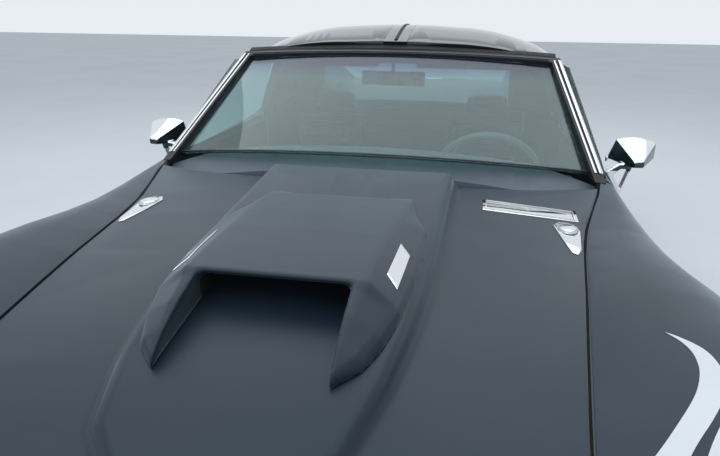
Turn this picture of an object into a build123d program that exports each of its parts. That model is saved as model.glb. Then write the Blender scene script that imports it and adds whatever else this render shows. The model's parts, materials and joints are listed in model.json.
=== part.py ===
from build123d import *
import math
import os

# Low two-seat sports coupe with a long scooped hood, lift-off roof panels and a soft nose and tail.
# Millimetres. +Z is up, the nose points along -Y and the driver sits on the +X side.
# The origin is on the ground, under the middle of the car.
# Bodywork is built from sections across the car. A table gives the outline at a few stations,
# and the sections between them are read from a smooth curve through each column.

# Overall sizes
nose_y = -2352
tail_y = 2352
front_axle_y = -1282
rear_axle_y = 1207
front_track_half = 738
rear_track_half = 736
ground_clearance = 128

# Wheels and tyres
tyre_radius = 340
front_tyre_width = 225
rear_tyre_width = 245
tyre_sides = 48
tyre_shoulder = 30
tyre_sidewall_drop = 46
tyre_bead_inset = 16
rim_radius = 190
rim_wall = 9
rim_disc_inset = 40
rim_disc_thickness = 14
rim_slot_count = 5
rim_slot_radius = 132
rim_slot_width = 44
rim_slot_half_angle = 21
hub_radius = 72
hub_cap_radius = 44
hub_depth = 44
spindle_radius = 22
spindle_length = 60
brake_radius = 148
brake_thickness = 18
running_fit = 0.05

# Panels
panel_wall = 22
section_step = 130
corner_share = 0.42
door_gap = 8
hood_side_gap = 8
hood_front_gap = 14.5
hood_wall = 20
seat_gap = 0.3
door_front_y = -510
door_rear_y = 556
door_floor_z = 246
door_inner_x = 690
door_rear_taper = 14
door_front_taper_x = 20
door_front_taper_y = 30
belt_z = 798
hood_front_y = -1888
nose_back_y = -2112
tail_front_y = 2150
nose_wall = 24
nose_face_wall = 30
cabin_half_width = 652
cabin_rear_y = 772
arch_gap = 36
liner_gap = 64
liner_wall = 8
liner_inner_x = 560
liner_inset = 8

# Body outline, one row for each station along the car. The lip is the edge of the hood and deck.
# Columns: y, rocker x, z, waist x, z, shoulder x, z, crest x, z, lip x, z, middle z
body_stations = [
    (-2352, 300, 404, 366, 452, 368, 500, 312, 538, 180, 548, 551),
    (-2328, 486, 352, 556, 446, 556, 524, 486, 576, 330, 590, 594),
    (-2262, 598, 296, 676, 450, 672, 552, 594, 616, 404, 628, 634),
    (-2150, 664, 258, 744, 466, 738, 584, 640, 654, 430, 662, 667),
    (-1960, 700, 230, 796, 488, 784, 628, 664, 714, 440, 701, 703),
    (-1640, 722, 208, 856, 520, 832, 692, 680, 792, 472, 744, 762),
    (-1282, 732, 196, 888, 530, 852, 722, 692, 812, 519, 768, 794),
    (-900, 732, 188, 846, 520, 806, 692, 696, 786, 573, 780, 826),
    (-520, 732, 184, 812, 510, 784, 690, 706, 796, 664, 808, 860),
    (0, 732, 180, 802, 505, 782, 690, 728, 790, 680, 802, 842),
    (560, 736, 185, 824, 510, 804, 700, 746, 808, 690, 817, 837),
    (1207, 746, 200, 892, 540, 864, 764, 772, 892, 600, 864, 874),
    (1700, 742, 230, 864, 540, 834, 744, 732, 872, 560, 854, 862),
    (2180, 704, 270, 806, 530, 780, 694, 694, 806, 520, 806, 814),
    (2300, 650, 306, 760, 505, 742, 630, 656, 726, 480, 730, 736),
    (2352, 596, 344, 716, 480, 704, 552, 618, 598, 440, 604, 608),
]

# Roof and buttress outline. Columns: y, belt x, z, edge x, z, rib x, z, middle z
roof_stations = [
    (-80, 690, 770, 562, 1096, 318, 1150, 1163),
    (250, 716, 770, 607, 1118, 350, 1199, 1218),
    (480, 718, 770, 601, 1112, 350, 1190, 1208),
    (800, 704, 780, 562, 1080, 340, 1132, 1146),
    (1200, 660, 800, 530, 960, 330, 998, 1008),
    (1590, 604, 820, 492, 868, 320, 874, 876),
]
roof_wall = 38
roof_panel_wall = 18
hoop_front_y = 470
roof_rear_y = 778
sail_end_y = 1580
sail_inner_x = 455
bar_half_width = 42
bar_front_y = -74
roof_panel_front_y = -52
roof_panel_edge_z = 1094
door_clear_x = 683
rear_glass_thickness = 6

# Windscreen, corner and middle points of its lower and upper edges
screen_base_corner = (640, -500, 822)
screen_base_middle = (0, -655, 877)
screen_top_corner = (552, -38, 1092)
screen_top_middle = (0, -104, 1118)
screen_thickness = 6
screen_frame_side = 36
screen_frame_top = 36
screen_frame_foot = 46
screen_frame_proud = 6
screen_frame_depth = 34
screen_normal = (0, -0.41, 0.912)

# Hood. The rear edge is an arc through the two rear corners and the middle.
hood_rear_corner_y = -606
hood_rear_middle_y = -762
hood_cut_y = -602
hood_pin_y = -1883
hood_pin_z = 703
hood_pin_radius = 3
pin_reach = 12
cowl_corner_z = 818
cowl_middle_z = 872
cowl_floor_z = 689
cowl_wall = 40
cowl_inner_x = 580
cowl_back_y = -522

# Raised middle of the hood. Columns: y, foot half width, top half width, top z
bulge_stations = [
    (-1890, 70, 50, 712),
    (-1850, 108, 88, 726),
    (-1760, 176, 158, 766),
    (-1550, 222, 206, 806),
    (-1300, 244, 230, 832),
    (-1000, 252, 240, 854),
    (-560, 266, 252, 874),
]

# Air scoop on the raised middle. Columns: y, ridge half width, ridge z, foot half width, foot z
scoop_stations = [
    (-1669, 124.5, 804, 127, 801),
    (-1628, 130, 826, 159, 811),
    (-1574, 138, 848, 181, 820),
    (-1520, 142, 863, 194, 827),
    (-1500, 150, 871, 199, 829),
    (-1388, 153, 872, 209, 838),
    (-1287, 154, 871, 212, 844),
    (-1174, 162, 867, 212, 848),
    (-1093, 167, 863, 188, 851),
    (-1006, 172, 857, 176, 851),
    (-970, 172, 850, 174, 848),
]
scoop_base_z = 700
scoop_mouth_half_width = 127
scoop_mouth_corner = 16
scoop_lip_y = -1502
scoop_roof_z = 860
scoop_mouth_back_y = -1190

# Bright plates on the hood, plan outlines. Columns: x, y
plate_thickness = 2.5
latch_outline = [
    (535, -1068),
    (546, -1040),
    (559, -925),
    (550, -885),
    (532, -874),
    (512, -884),
    (499, -908),
    (524, -1061),
]
name_plate_outline = [(333, -799), (333, -870), (564, -864), (564, -798)]

# Pop-up lamps
pod_inner_x = 384
pod_outer_x = 604
pod_front_y = -2084
pod_rear_y = -1938
pod_lid_wall = 16
pod_gap = 7
pod_rear_gap = 15.5
pod_front_setback = 28
pod_depth = 112
pod_side_setback = 16
pod_pin_y = -1941
pod_pin_z = 696
pod_pin_radius = 3
pod_open_angle = 45
lamp_radius = 44
lamp_depth = 6

# Door hinge, door glass and mirror
hinge_x = 785
hinge_y = -470
hinge_z = 505
hinge_pin_radius = 6
hinge_eye_radius = 10
hinge_strap_height = 18
hinge_pocket_clear = 11
hinge_pocket_back_y = -450
door_skin_at_hinge = 797.5
post_inner_x = 640
post_outer_x = 684
glass_thickness = 5
glass_foot_x = 717
glass_foot_z = 742
glass_top_x = 611
glass_top_z = 1092
glass_front_y = -452
glass_rear_y = 444
mirror_rear_y = -205
mirror_front_y = -362
mirror_bracket_y = (-318, -290)

# Door mirror, outlines of its rear and front ends and of its open bracket. Columns: x, z
mirror_rear_outline = [(765, 874), (742, 808), (893, 812), (893, 866)]
mirror_rear_crown = (830, 883)
mirror_front_outline = [(794, 833), (792, 812), (824, 814), (824, 837)]
mirror_bracket_outline = [(710, 778), (768, 690), (806, 816), (764, 816)]
mirror_bracket_window = [(749, 778), (773, 730), (791, 797), (769, 798)]

# Steering and front suspension
kingpin_x = 668
kingpin_radius = 11
arm_half_width = 26
arm_end = 16
arm_height = 20
arm_offset_z = 116
brake_offset_x = 34
wheel_centre = (353, -222, 722)
wheel_diameter = 372
wheel_grip_radius = 13
wheel_tilt = 25
column_radius = 19
column_length = 168

# Frame, floor and what hangs from them
rail_width = 76
rail_height = 104
front_rail_inner_x = 330
front_rail_z = 236
waist_rail_outer_x = 640
rear_rail_outer_x = 500
rear_rail_z = 420
floor_z = 234
floor_wall = 12
floor_front_y = -640
floor_rear_y = 640
tunnel_half_width = 150
tunnel_top_z = 470
pipe_x = 270
pipe_radius = 27
pipe_z = 176
muffler_start_y = 1500

# Two vents behind the front wheel. Columns: low z, high z, front y, rear y
fender_vents = [(478, 540, -846, -700), (556, 618, -820, -676)]
vent_depth_x = 812

# Openings under the nose on each side. Columns: inner x, outer x, low z, high z
grille_openings = [(96, 500, 312, 376)]
grille_bar_count = 4
grille_bar_height = 5
grille_bar_depth = 10
turn_lamp_width = 84
chin_slope = 0.83
chin_top_z = 404

# Rear lamps. Columns: x, z
rear_lamp_places = [(322, 505), (502, 505)]
rear_lamp_radius = 52
rear_lamp_length = 40

# Plate recess in the tail
plate_recess_half_width = 176
plate_recess_z = (396, 556)
plate_recess_depth = 14
plate_bolt_spacing = 177.8
plate_bolt_radius = 3.5
plate_bolt_z = 530


def mirrored(shape):
    return mirror(shape, about=Plane.YZ)


def sided(shape, sign):
    return shape if sign > 0 else mirrored(shape)


def box(x0, x1, y0, y1, z0, z1):
    middle = ((x0 + x1) / 2, (y0 + y1) / 2, (z0 + z1) / 2)
    return Pos(*middle) * Box(x1 - x0, y1 - y0, z1 - z0)


def rod_x(x0, x1, y, z, radius):
    return Pos((x0 + x1) / 2, y, z) * Rot(0, 90, 0) * Cylinder(radius, x1 - x0)


def rod_y(x, y0, y1, z, radius):
    return Pos(x, (y0 + y1) / 2, z) * Rot(90, 0, 0) * Cylinder(radius, y1 - y0)


def rod_z(x, y, z0, z1, radius):
    return Pos(x, y, (z0 + z1) / 2) * Cylinder(radius, z1 - z0)


def side_prism(points, x0, x1):
    """A solid from an outline of (y, z) points, from x0 to x1."""
    outline = make_face(Polyline(*[(x0, y, z) for y, z in points], close=True))
    return extrude(outline, amount=x1 - x0, dir=(1, 0, 0))


def front_prism(points, y0, y1):
    """A solid from an outline of (x, z) points, from y0 to y1."""
    outline = make_face(Polyline(*[(x, y0, z) for x, z in points], close=True))
    return extrude(outline, amount=y1 - y0, dir=(0, 1, 0))


def plan_prism(points, z0, z1):
    """A solid from an outline of (x, y) points, from z0 to z1."""
    outline = make_face(Polyline(*[(x, y, z0) for x, y in points], close=True))
    return extrude(outline, amount=z1 - z0, dir=(0, 0, 1))


def row_at(table, y):
    """The table's columns after the first, read at y from a smooth curve through the rows."""
    last = len(table) - 1
    i = 0
    while i < last - 1 and table[i + 1][0] < y:
        i += 1
    low, high = table[i], table[i + 1]
    before = table[max(i - 1, 0)]
    after = table[min(i + 2, last)]
    span = high[0] - low[0]
    t = (y - low[0]) / span
    values = []
    for c in range(1, len(low)):
        slope_low = (high[c] - before[c]) / (high[0] - before[0]) * span
        slope_high = (after[c] - low[c]) / (after[0] - low[0]) * span
        value = (
            (2 * t**3 - 3 * t**2 + 1) * low[c]
            + (t**3 - 2 * t**2 + t) * slope_low
            + (3 * t**2 - 2 * t**3) * high[c]
            + (t**3 - t**2) * slope_high
        )
        values.append(value)
    return values


def stations(y0, y1):
    count = max(1, math.ceil((y1 - y0) / section_step))
    return [y0 + (y1 - y0) * i / count for i in range(count + 1)]


def rounded_path(points, y, share):
    """Edges through (x, z) points at y, with an arc at each inner corner, tangent to both runs."""
    points = [Vector(x, y, z) for x, z in points]
    edges = []
    start = points[0]
    for before, corner, after in zip(points, points[1:], points[2:]):
        back = (before - corner).normalized()
        ahead = (after - corner).normalized()
        setback = share * min((before - corner).length, (after - corner).length)
        half = math.radians(back.get_angle(ahead) / 2)
        middle = (back + ahead).normalized() * (setback * (1 - math.sin(half)) / math.cos(half))
        first = corner + back * setback
        last = corner + ahead * setback
        edges.append(Line(start, first))
        edges.append(ThreePointArc(first, corner + middle, last))
        start = last
    edges.append(Line(start, points[-1]))
    return edges


def closed_section(y, outer_points, inner_points):
    """A flat section at y between two open paths that run the same way."""
    edges = rounded_path(outer_points, y, corner_share)
    if len(inner_points) > 2:
        edges += rounded_path(inner_points, y, corner_share)
    else:
        edges.append(Line(*[(x, y, z) for x, z in inner_points]))
    for a, b in ((outer_points[0], inner_points[0]), (outer_points[-1], inner_points[-1])):
        if a != b:
            edges.append(Line((a[0], y, a[1]), (b[0], y, b[1])))
    return make_face(edges)


def body_points(y, wall=0, lip_shift=0):
    """Half outline at y from sill to middle, or the same outline moved inwards by wall."""
    rx, rz, wx, wz, sx, sz, cx, cz, lx, lz, mz = row_at(body_stations, y)
    return [
        (rx - wall, rz),
        (wx - wall, wz),
        (sx - wall, sz - 0.35 * wall),
        (cx - 0.55 * wall, cz - wall),
        (lx + lip_shift, lz - wall),
        (0, mz - wall),
    ]


def whole(half):
    """A half outline and its mirror image as one path from side to side."""
    return half + [(-x, z) for x, z in reversed(half[:-1])]


def side_panel(y0, y1, lip_shift, wall):
    """Panel of even wall from the sill up over the crest to the lip, on the +X side."""
    faces = []
    for y in stations(y0, y1):
        faces.append(closed_section(y, body_points(y, 0, lip_shift)[:-1], body_points(y, wall, lip_shift)[:-1]))
    return loft(faces, ruled=True)


def wide_panel(y0, y1, wall):
    """Panel of even wall that runs from sill to sill over the middle."""
    faces = []
    for y in stations(y0, y1):
        faces.append(closed_section(y, whole(body_points(y)), whole(body_points(y, wall))))
    return loft(faces, ruled=True)


def body_block(y0, y1, wall=0, lag=0):
    """The body's full form between two stations, closed by a flat bottom. A lag reads the outline further on."""
    faces = []
    for y in stations(y0, y1):
        path = whole(body_points(y - lag, wall))
        faces.append(closed_section(y, path, [path[0], path[-1]]))
    return loft(faces, ruled=True)


def side_block(y0, y1):
    """The body's full form on the +X side of the cabin."""
    faces = []
    for y in stations(y0, y1):
        path = body_points(y)[:-1]
        ends = [(path[0][0] - 200, path[0][1]), (path[-1][0] - 200, path[-1][1])]
        faces.append(closed_section(y, path, ends))
    return loft(faces, ruled=True)


def roof_points(y, wall=0, drop=0):
    bx, bz, ex, ez, rx, rz, mz = row_at(roof_stations, y)
    return [(bx - wall, bz - drop), (ex - wall, ez - 0.9 * wall), (rx, rz - wall), (0, mz - wall)]


def roof_skin(y0, y1, wall):
    faces = []
    for y in stations(y0, y1):
        faces.append(closed_section(y, whole(roof_points(y)), whole(roof_points(y, wall))))
    return loft(faces, ruled=True)


def roof_block(y0, y1, wall=0, drop=0):
    faces = []
    for y in stations(y0, y1):
        path = whole(roof_points(y, wall, drop))
        faces.append(closed_section(y, path, [path[0], path[-1]]))
    return loft(faces, ruled=True)


def lip_x(y):
    return row_at(body_stations, y)[8]


def hood_points(y, wall=0):
    """Half outline of the hood from its side edge over the raised middle."""
    lz = row_at(body_stations, y)[9]
    mz = row_at(body_stations, y)[10]
    foot_x, top_x, top_z = row_at(bulge_stations, y)
    foot_z = lz + (mz - lz) * (1 - foot_x / lip_x(y))
    rise_z = max(top_z - 6, foot_z + 2)
    return [
        (lip_x(y), lz - wall),
        (foot_x, foot_z - wall),
        (top_x, rise_z - wall),
        (0, rise_z + 6 - wall),
    ]


def hood_form(y0, y1, wall=0):
    """The hood as a shell of that wall, or with no wall as a block under its skin."""
    faces = []
    for y in stations(y0, y1):
        path = whole(hood_points(y))
        if wall:
            under = whole(hood_points(y, wall))
        else:
            under = [(path[0][0], 620), (path[-1][0], 620)]
        faces.append(closed_section(y, path, under))
    return loft(faces, ruled=True)


def hood_plan(shift):
    """Plan prism with the hood's curved rear edge and straight front edge, wide at the sides."""
    z = 560
    wide = 900
    edge_y = hood_rear_corner_y + shift
    corner_x = lip_x(hood_rear_corner_y)
    edges = [
        Line((-wide, hood_front_y, z), (wide, hood_front_y, z)),
        Line((wide, hood_front_y, z), (wide, edge_y, z)),
        Line((wide, edge_y, z), (corner_x, edge_y, z)),
        ThreePointArc((corner_x, edge_y, z), (0, hood_rear_middle_y + shift, z), (-corner_x, edge_y, z)),
        Line((-corner_x, edge_y, z), (-wide, edge_y, z)),
        Line((-wide, edge_y, z), (-wide, hood_front_y, z)),
    ]
    return extrude(make_face(edges), amount=400, dir=(0, 0, 1))


def wheel_hole(y, radius):
    return rod_x(500, 1000, y, tyre_radius, radius)


def wheel_liner(y):
    """Half-round inner wing over a wheel, grown into the panel, on the +X side."""
    radius = tyre_radius + liner_gap
    reach = radius + liner_wall
    ring = rod_x(liner_inner_x, 1000, y, tyre_radius, reach) - rod_x(liner_inner_x - 1, 1001, y, tyre_radius, radius)
    ring &= box(0, 1000, y - reach, y + reach, tyre_radius, 1200)
    return ring & body_block(y - reach - 20, y + reach + 20, liner_inset)


def front_fender():
    """Wing with its wheel arch, a vent behind the wheel and bores for the hood's hinge pin."""
    y0 = hood_front_y - hood_front_gap + seat_gap
    y1 = door_front_y - door_gap
    panel = side_panel(y0, y1, hood_side_gap, panel_wall)
    panel -= wheel_hole(front_axle_y, tyre_radius + arch_gap)
    for z0, z1, y0, y1 in fender_vents:
        panel -= box(vent_depth_x, 1000, y0, y1, z0, z1)
    panel += wheel_liner(front_axle_y)
    return panel - hood_pin(hood_pin_radius + running_fit)


def hood_pin(radius):
    x = lip_x(hood_pin_y)
    return rod_x(x - pin_reach, x + hood_side_gap + pin_reach, hood_pin_y, hood_pin_z, radius)


def rear_body():
    body = wide_panel(door_rear_y + door_gap, tail_front_y - seat_gap, panel_wall)
    arch = wheel_hole(rear_axle_y, tyre_radius + arch_gap)
    body = body - arch - mirrored(arch)
    liner = wheel_liner(rear_axle_y)
    body = body + liner + mirrored(liner)
    body -= box(-cabin_half_width, cabin_half_width, 500, cabin_rear_y, 700, 1000)
    return body


def rocker():
    y0 = door_front_y - door_gap + seat_gap
    y1 = door_rear_y + door_gap - seat_gap
    panel = side_panel(y0, y1, 0, panel_wall)
    return panel & box(0, 1000, y0 - 1, y1 + 1, 0, door_floor_z - door_gap)


def door_region():
    return plan_prism(
        [
            (door_inner_x, door_front_y + door_front_taper_y),
            (door_inner_x + door_front_taper_x, door_front_y),
            (1000, door_front_y),
            (1000, door_rear_y),
            (door_inner_x + 70, door_rear_y),
            (door_inner_x, door_rear_y - door_rear_taper),
        ],
        door_floor_z,
        belt_z,
    )


def door(sign):
    """The whole door from skin to inner trim, with a pocket and a pin for its hinge strap."""
    solid = side_block(door_front_y, door_rear_y) & door_region()
    half = hinge_strap_height / 2 + hinge_pocket_clear
    pocket = box(600, door_skin_at_hinge, door_front_y - 1, hinge_pocket_back_y, hinge_z - half, hinge_z + half)
    solid = solid - pocket + rod_z(hinge_x, hinge_y, hinge_z - half - 6, hinge_z + half + 6, hinge_pin_radius)
    return sided(solid - door_glass(1), sign)


def hinge_strap():
    """Door post in front of the sill with a flat strap whose eye holds the door's pin."""
    half = hinge_strap_height / 2
    z0, z1 = hinge_z - half, hinge_z + half
    post = box(post_inner_x, post_outer_x, door_front_y - door_gap, hinge_y + 30, 300, hinge_z + 60)
    strap = box(post_outer_x - 2, hinge_x, hinge_y - hinge_eye_radius, hinge_y + hinge_eye_radius, z0, z1)
    strap += rod_z(hinge_x, hinge_y, z0, z1, hinge_eye_radius)
    return post + strap - rod_z(hinge_x, hinge_y, z0 - 1, z1 + 1, hinge_pin_radius + running_fit)


def door_glass(sign):
    outline = side_prism(
        [
            (glass_front_y, glass_foot_z),
            (glass_front_y, 806),
            (-412, 850),
            (-46, glass_top_z - 4),
            (glass_rear_y - 8, glass_top_z - 4),
            (glass_rear_y, glass_foot_z),
        ],
        500,
        900,
    )
    foot = glass_foot_x - glass_thickness
    top = glass_top_x - glass_thickness
    sheet = front_prism(
        [(foot, glass_foot_z), (glass_foot_x, glass_foot_z), (glass_top_x, glass_top_z), (top, glass_top_z)],
        -600,
        600,
    )
    return sided(outline & sheet, sign)


def mirror_unit(sign):
    """Wedge-shaped door mirror that narrows forwards, on an open bracket."""
    rear = [Vector(x, mirror_rear_y, z) for x, z in mirror_rear_outline]
    front = [Vector(x, mirror_front_y, z) for x, z in mirror_front_outline]
    crown = Vector(mirror_rear_crown[0], mirror_rear_y, mirror_rear_crown[1])
    rear_face = make_face([Polyline(*rear), ThreePointArc(rear[-1], crown, rear[0])])
    front_face = make_face(Polyline(*front, close=True))
    bracket = front_prism(mirror_bracket_outline, *mirror_bracket_y)
    bracket -= front_prism(mirror_bracket_window, *mirror_bracket_y)
    head = loft([rear_face, front_face], ruled=True)
    return sided(head + bracket - side_block(door_front_y, door_rear_y), sign)


def tyre(width, sign, y, track):
    """Closed ring with flat-sided tread, shoulders and sidewalls, open at the bead."""
    half = width / 2
    columns = [
        (-half, tyre_radius - tyre_sidewall_drop),
        (-half + tyre_shoulder * 0.3, tyre_radius - tyre_shoulder * 0.55),
        (-half + tyre_shoulder, tyre_radius),
        (half - tyre_shoulder, tyre_radius),
        (half - tyre_shoulder * 0.3, tyre_radius - tyre_shoulder * 0.55),
        (half, tyre_radius - tyre_sidewall_drop),
    ]
    faces = [Pos(0, 0, x) * RegularPolygon(radius, tyre_sides) for x, radius in columns]
    body = loft(faces, ruled=True) - Cylinder(rim_radius, 2 * half + 2)
    return Pos(sign * track, y, tyre_radius) * (Rot(0, 90, 0) * body)


def rim_face_z(width):
    return width / 2 - tyre_bead_inset - rim_disc_inset


def rim(width, sign, y, track):
    """Slotted disc in a dropped barrel, its face on the outer side."""
    half = width / 2 - tyre_bead_inset
    disc_z = rim_face_z(width)
    barrel = Cylinder(rim_radius, 2 * half) - Cylinder(rim_radius - rim_wall, 2 * half)
    disc = Pos(0, 0, disc_z) * Cylinder(rim_radius - rim_wall / 2, rim_disc_thickness)
    hub = Pos(0, 0, disc_z - hub_depth / 2) * Cylinder(hub_radius, hub_depth)
    cap = Pos(0, 0, disc_z + 14) * Cone(hub_cap_radius, hub_cap_radius - 8, 28)
    body = barrel + disc + hub + cap
    arc = CenterArc((0, 0), rim_slot_radius, -rim_slot_half_angle, 2 * rim_slot_half_angle)
    slot = Pos(0, 0, disc_z) * extrude(SlotArc(arc, rim_slot_width), amount=rim_disc_thickness, both=True)
    for i in range(rim_slot_count):
        body -= Rot(0, 0, i * 360 / rim_slot_count) * slot
    bore_z = disc_z - hub_depth
    body -= Pos(0, 0, bore_z + spindle_length / 2) * Cylinder(spindle_radius + running_fit, spindle_length)
    return Pos(sign * track, y, tyre_radius) * sided(Rot(0, 90, 0) * body, sign)


def spindle(width, track, y, from_x):
    """Plain spindle that fills a hub's bore but for a small end gap."""
    end = track + rim_face_z(width) - hub_depth + spindle_length - 1
    return rod_x(from_x, end, y, tyre_radius, spindle_radius)


def knuckle(sign):
    z = tyre_radius
    upright = box(kingpin_x - 30, kingpin_x + brake_offset_x, front_axle_y - 36, front_axle_y + 36, z - 92, z + 92)
    pin = rod_z(kingpin_x, front_axle_y, z - arm_offset_z - 16, z + arm_offset_z + 16, kingpin_radius)
    face_x = kingpin_x + brake_offset_x
    brake = rod_x(face_x, face_x + brake_thickness, front_axle_y, z, brake_radius)
    return sided(upright + pin + brake + spindle(front_tyre_width, front_track_half, front_axle_y, kingpin_x), sign)


def front_arm(z):
    y = front_axle_y
    outline = [(400, y - 60), (kingpin_x - arm_end, y - arm_half_width), (kingpin_x + arm_end, y - arm_half_width)]
    outline += [(x, 2 * y - v) for x, v in reversed(outline)]
    arm = plan_prism(outline, z - arm_height / 2, z + arm_height / 2)
    arm -= plan_prism([(440, y - 34), (580, y), (440, y + 34)], z - arm_height, z + arm_height)
    return arm - rod_z(kingpin_x, y, z - 50, z + 50, kingpin_radius + running_fit)


def front_suspension():
    """Crossmember under the rails, spring towers on them and two wishbones on each side."""
    y0, y1 = front_axle_y - 60, front_axle_y + 60
    rail_top = front_rail_z + rail_height
    outer_x = front_rail_inner_x + rail_width
    beam = box(-outer_x, outer_x, y0, y1, 200, front_rail_z)
    tower = box(front_rail_inner_x + 10, outer_x, y0, y1, rail_top, 480)
    right = front_arm(tyre_radius - arm_offset_z) + front_arm(tyre_radius + arm_offset_z) + tower
    joined = beam + right + mirrored(right)
    return Compound(children=list(joined.solids()))


def rear_suspension(rails):
    """Final drive, half shafts, trailing arms and a cross leaf spring."""
    z, y = tyre_radius, rear_axle_y
    case = Pos(0, y, z) * Box(230, 300, 240)
    right = rod_x(100, 640, y, z, 26)
    right += box(600, 620, y - 46, y + 46, z - 100, z + 90)
    right += spindle(rear_tyre_width, rear_track_half, y, 610)
    right += rod_x(620, 620 + brake_thickness, y, z, brake_radius)
    right += box(514, 552, 700, y + 46, z - 60, z - 2)
    right += box(514, 602, y - 46, y + 46, z - 60, z - 2)
    right += box(0, 606, y + 130, y + 190, 212, 236)
    right += box(584, 606, y + 40, y + 190, 230, 300)
    return case + right + mirrored(right) - rails


def frame_rails():
    """Ladder frame that is narrow at the nose, wide beside the cabin and kicked up at the back."""
    inner, outer = front_rail_inner_x, front_rail_inner_x + rail_width
    wide, rear = waist_rail_outer_x, rear_rail_outer_x
    plan = plan_prism(
        [
            (inner, -2040), (outer, -2040), (outer, -760), (wide, -520), (wide, 640), (rear, 860), (rear, 2120),
            (rear - rail_width, 2120), (rear - rail_width, 830), (wide - rail_width, 610),
            (wide - rail_width, -490), (inner, -730),
        ],
        0,
        700,
    )
    base, front, high = ground_clearance, front_rail_z, rear_rail_z
    side = side_prism(
        [
            (-2050, front), (-1000, front), (-760, base), (660, base), (880, high), (1500, high), (1700, high - 90),
            (2130, high - 90), (2130, high - 90 + rail_height), (1740, high - 90 + rail_height),
            (1540, high + rail_height), (830, high + rail_height), (610, base + rail_height),
            (-730, base + rail_height), (-970, front + rail_height), (-2050, front + rail_height),
        ],
        300,
        700,
    )
    right = plan & side
    cross = box(-outer, outer, -2010, -1950, 240, 330)
    cross += box(-wide, wide, 560, 620, 140, 220)
    cross += box(-wide, wide, -500, -430, 140, 220)
    cross += box(-rear, rear, 2040, 2100, 340, 420)
    for sign in (1, -1):
        cross -= rod_y(sign * pipe_x, -700, 1500, pipe_z, pipe_radius + seat_gap)
    return right + mirrored(right) + cross


def floor_tub(rails):
    """Floor, hollow tunnel and sills with their door posts."""
    top = floor_z + floor_wall
    width = tunnel_half_width
    y0, y1 = floor_front_y, floor_rear_y
    solid = box(-560, 560, y0, y1, floor_z, top)
    solid += box(-width, width, y0, y1, top - 6, tunnel_top_z)
    solid -= box(-width + floor_wall, width - floor_wall, y0 - 20, y1 + 20, 200, tunnel_top_z - floor_wall)
    sill = box(post_inner_x, post_outer_x, -500, 548, 150, 400)
    sill += box(556, post_inner_x + 6, -500, 556, floor_z, 300)
    sill += hinge_strap()
    solid += sill + mirrored(sill)
    return solid - rails


def firewall(tub):
    """Wall ahead of the footwells, leaning forward, with a notch over the gearbox."""
    wall = side_prism([(-640, 234), (-720, 400), (-720, 689), (-700, 689), (-700, 404), (-622, 234)], -640, 640)
    wall -= box(-128, 128, -760, -600, 200, 448)
    return wall - box(-tunnel_half_width, tunnel_half_width, floor_front_y, -500, 200, tunnel_top_z) - tub


def bulkhead(rails, tub, rear):
    """Wall behind the seats, the shelf behind it and the shelf's back wall."""
    solid = side_prism([(636, 234), (652, 234), (752, 672), (740, 672)], -620, 620)
    solid += box(-552, 552, 740, 1045, 660, 672) + box(-552, 552, 1040, 1052, 560, 842)
    return solid - rails - tub - rear


def hood_panel():
    panel = hood_form(hood_front_y, hood_cut_y, hood_wall) & hood_plan(0)
    pin = hood_pin(hood_pin_radius)
    return panel + pin + mirrored(pin)


def scoop():
    """Forward-facing scoop with slanted sides, its mouth open between two legs that run out to points."""
    faces = []
    for y, ridge_x, ridge_z, foot_x, foot_z in scoop_stations:
        slope = (foot_x - ridge_x) / (ridge_z - foot_z)
        base_x = foot_x + slope * (foot_z - scoop_base_z) / 4
        half = [(base_x, scoop_base_z), (foot_x, foot_z), (ridge_x, ridge_z)]
        points = half + [(-x, z) for x, z in reversed(half)]
        faces.append(make_face(Polyline(*[(x, y, z) for x, z in points], close=True)))
    body = loft(faces, ruled=True)
    front_y = scoop_stations[0][0] - 20
    x = scoop_mouth_half_width
    cavity = box(-x, x, front_y, scoop_mouth_back_y, scoop_base_z - 1, scoop_roof_z)
    cavity = fillet(cavity.edges().filter_by(Axis.Y).group_by(Axis.Z)[-1], scoop_mouth_corner)
    front = box(-x, x, front_y, scoop_lip_y, scoop_base_z - 1, 950)
    return body - cavity - front - hood_form(hood_front_y, hood_cut_y)


def hood_plates():
    """Plates that follow the hood: a latch plate on each side and a plain name plate on the driver's."""
    level = hood_form(hood_front_y, hood_cut_y)
    raised = Pos(0, 0, plate_thickness) * level
    latch = (raised & plan_prism(latch_outline, 700, 900)) - level
    name_plate = (raised & plan_prism(name_plate_outline, 700, 900)) - level
    return [latch, mirrored(latch), name_plate]


def cowl_panel():
    """Crowned panel between the hood's rear edge and the windscreen, open below."""
    front_y = -800
    x = lip_x(hood_rear_corner_y) + hood_side_gap
    arc = ThreePointArc((x, 0, cowl_corner_z), (0, 0, cowl_middle_z), (-x, 0, cowl_corner_z))
    ends = Polyline((-x, 0, cowl_corner_z), (-x, 0, cowl_floor_z), (x, 0, cowl_floor_z), (x, 0, cowl_corner_z))
    bar = extrude(make_face([arc, ends]), amount=1000, dir=(0, -1, 0))
    rows = stations(front_y, cowl_back_y)
    right = [(lip_x(y) + hood_side_gap - seat_gap, y) for y in rows]
    strip = plan_prism(right + [(-v, y) for v, y in reversed(right)], 600, 1000)
    hollow = box(-cowl_inner_x, cowl_inner_x, front_y - 1, cowl_back_y - 12, 600, cowl_corner_z - cowl_wall)
    hood_space = Pos(0, hood_side_gap, 0) * hood_plan(0)
    return (bar & strip) - hood_space - hollow - screen_slab(60, 100, 100, 200, -screen_frame_depth - seat_gap)


def along(a, b, distance):
    """The point past b on the line from a to b."""
    a = Vector(*a)
    b = Vector(*b)
    return b + (b - a).normalized() * distance


def screen_arc(corner, middle, side):
    return ThreePointArc((-corner.X - side, corner.Y, corner.Z), middle, (corner.X + side, corner.Y, corner.Z))


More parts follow.
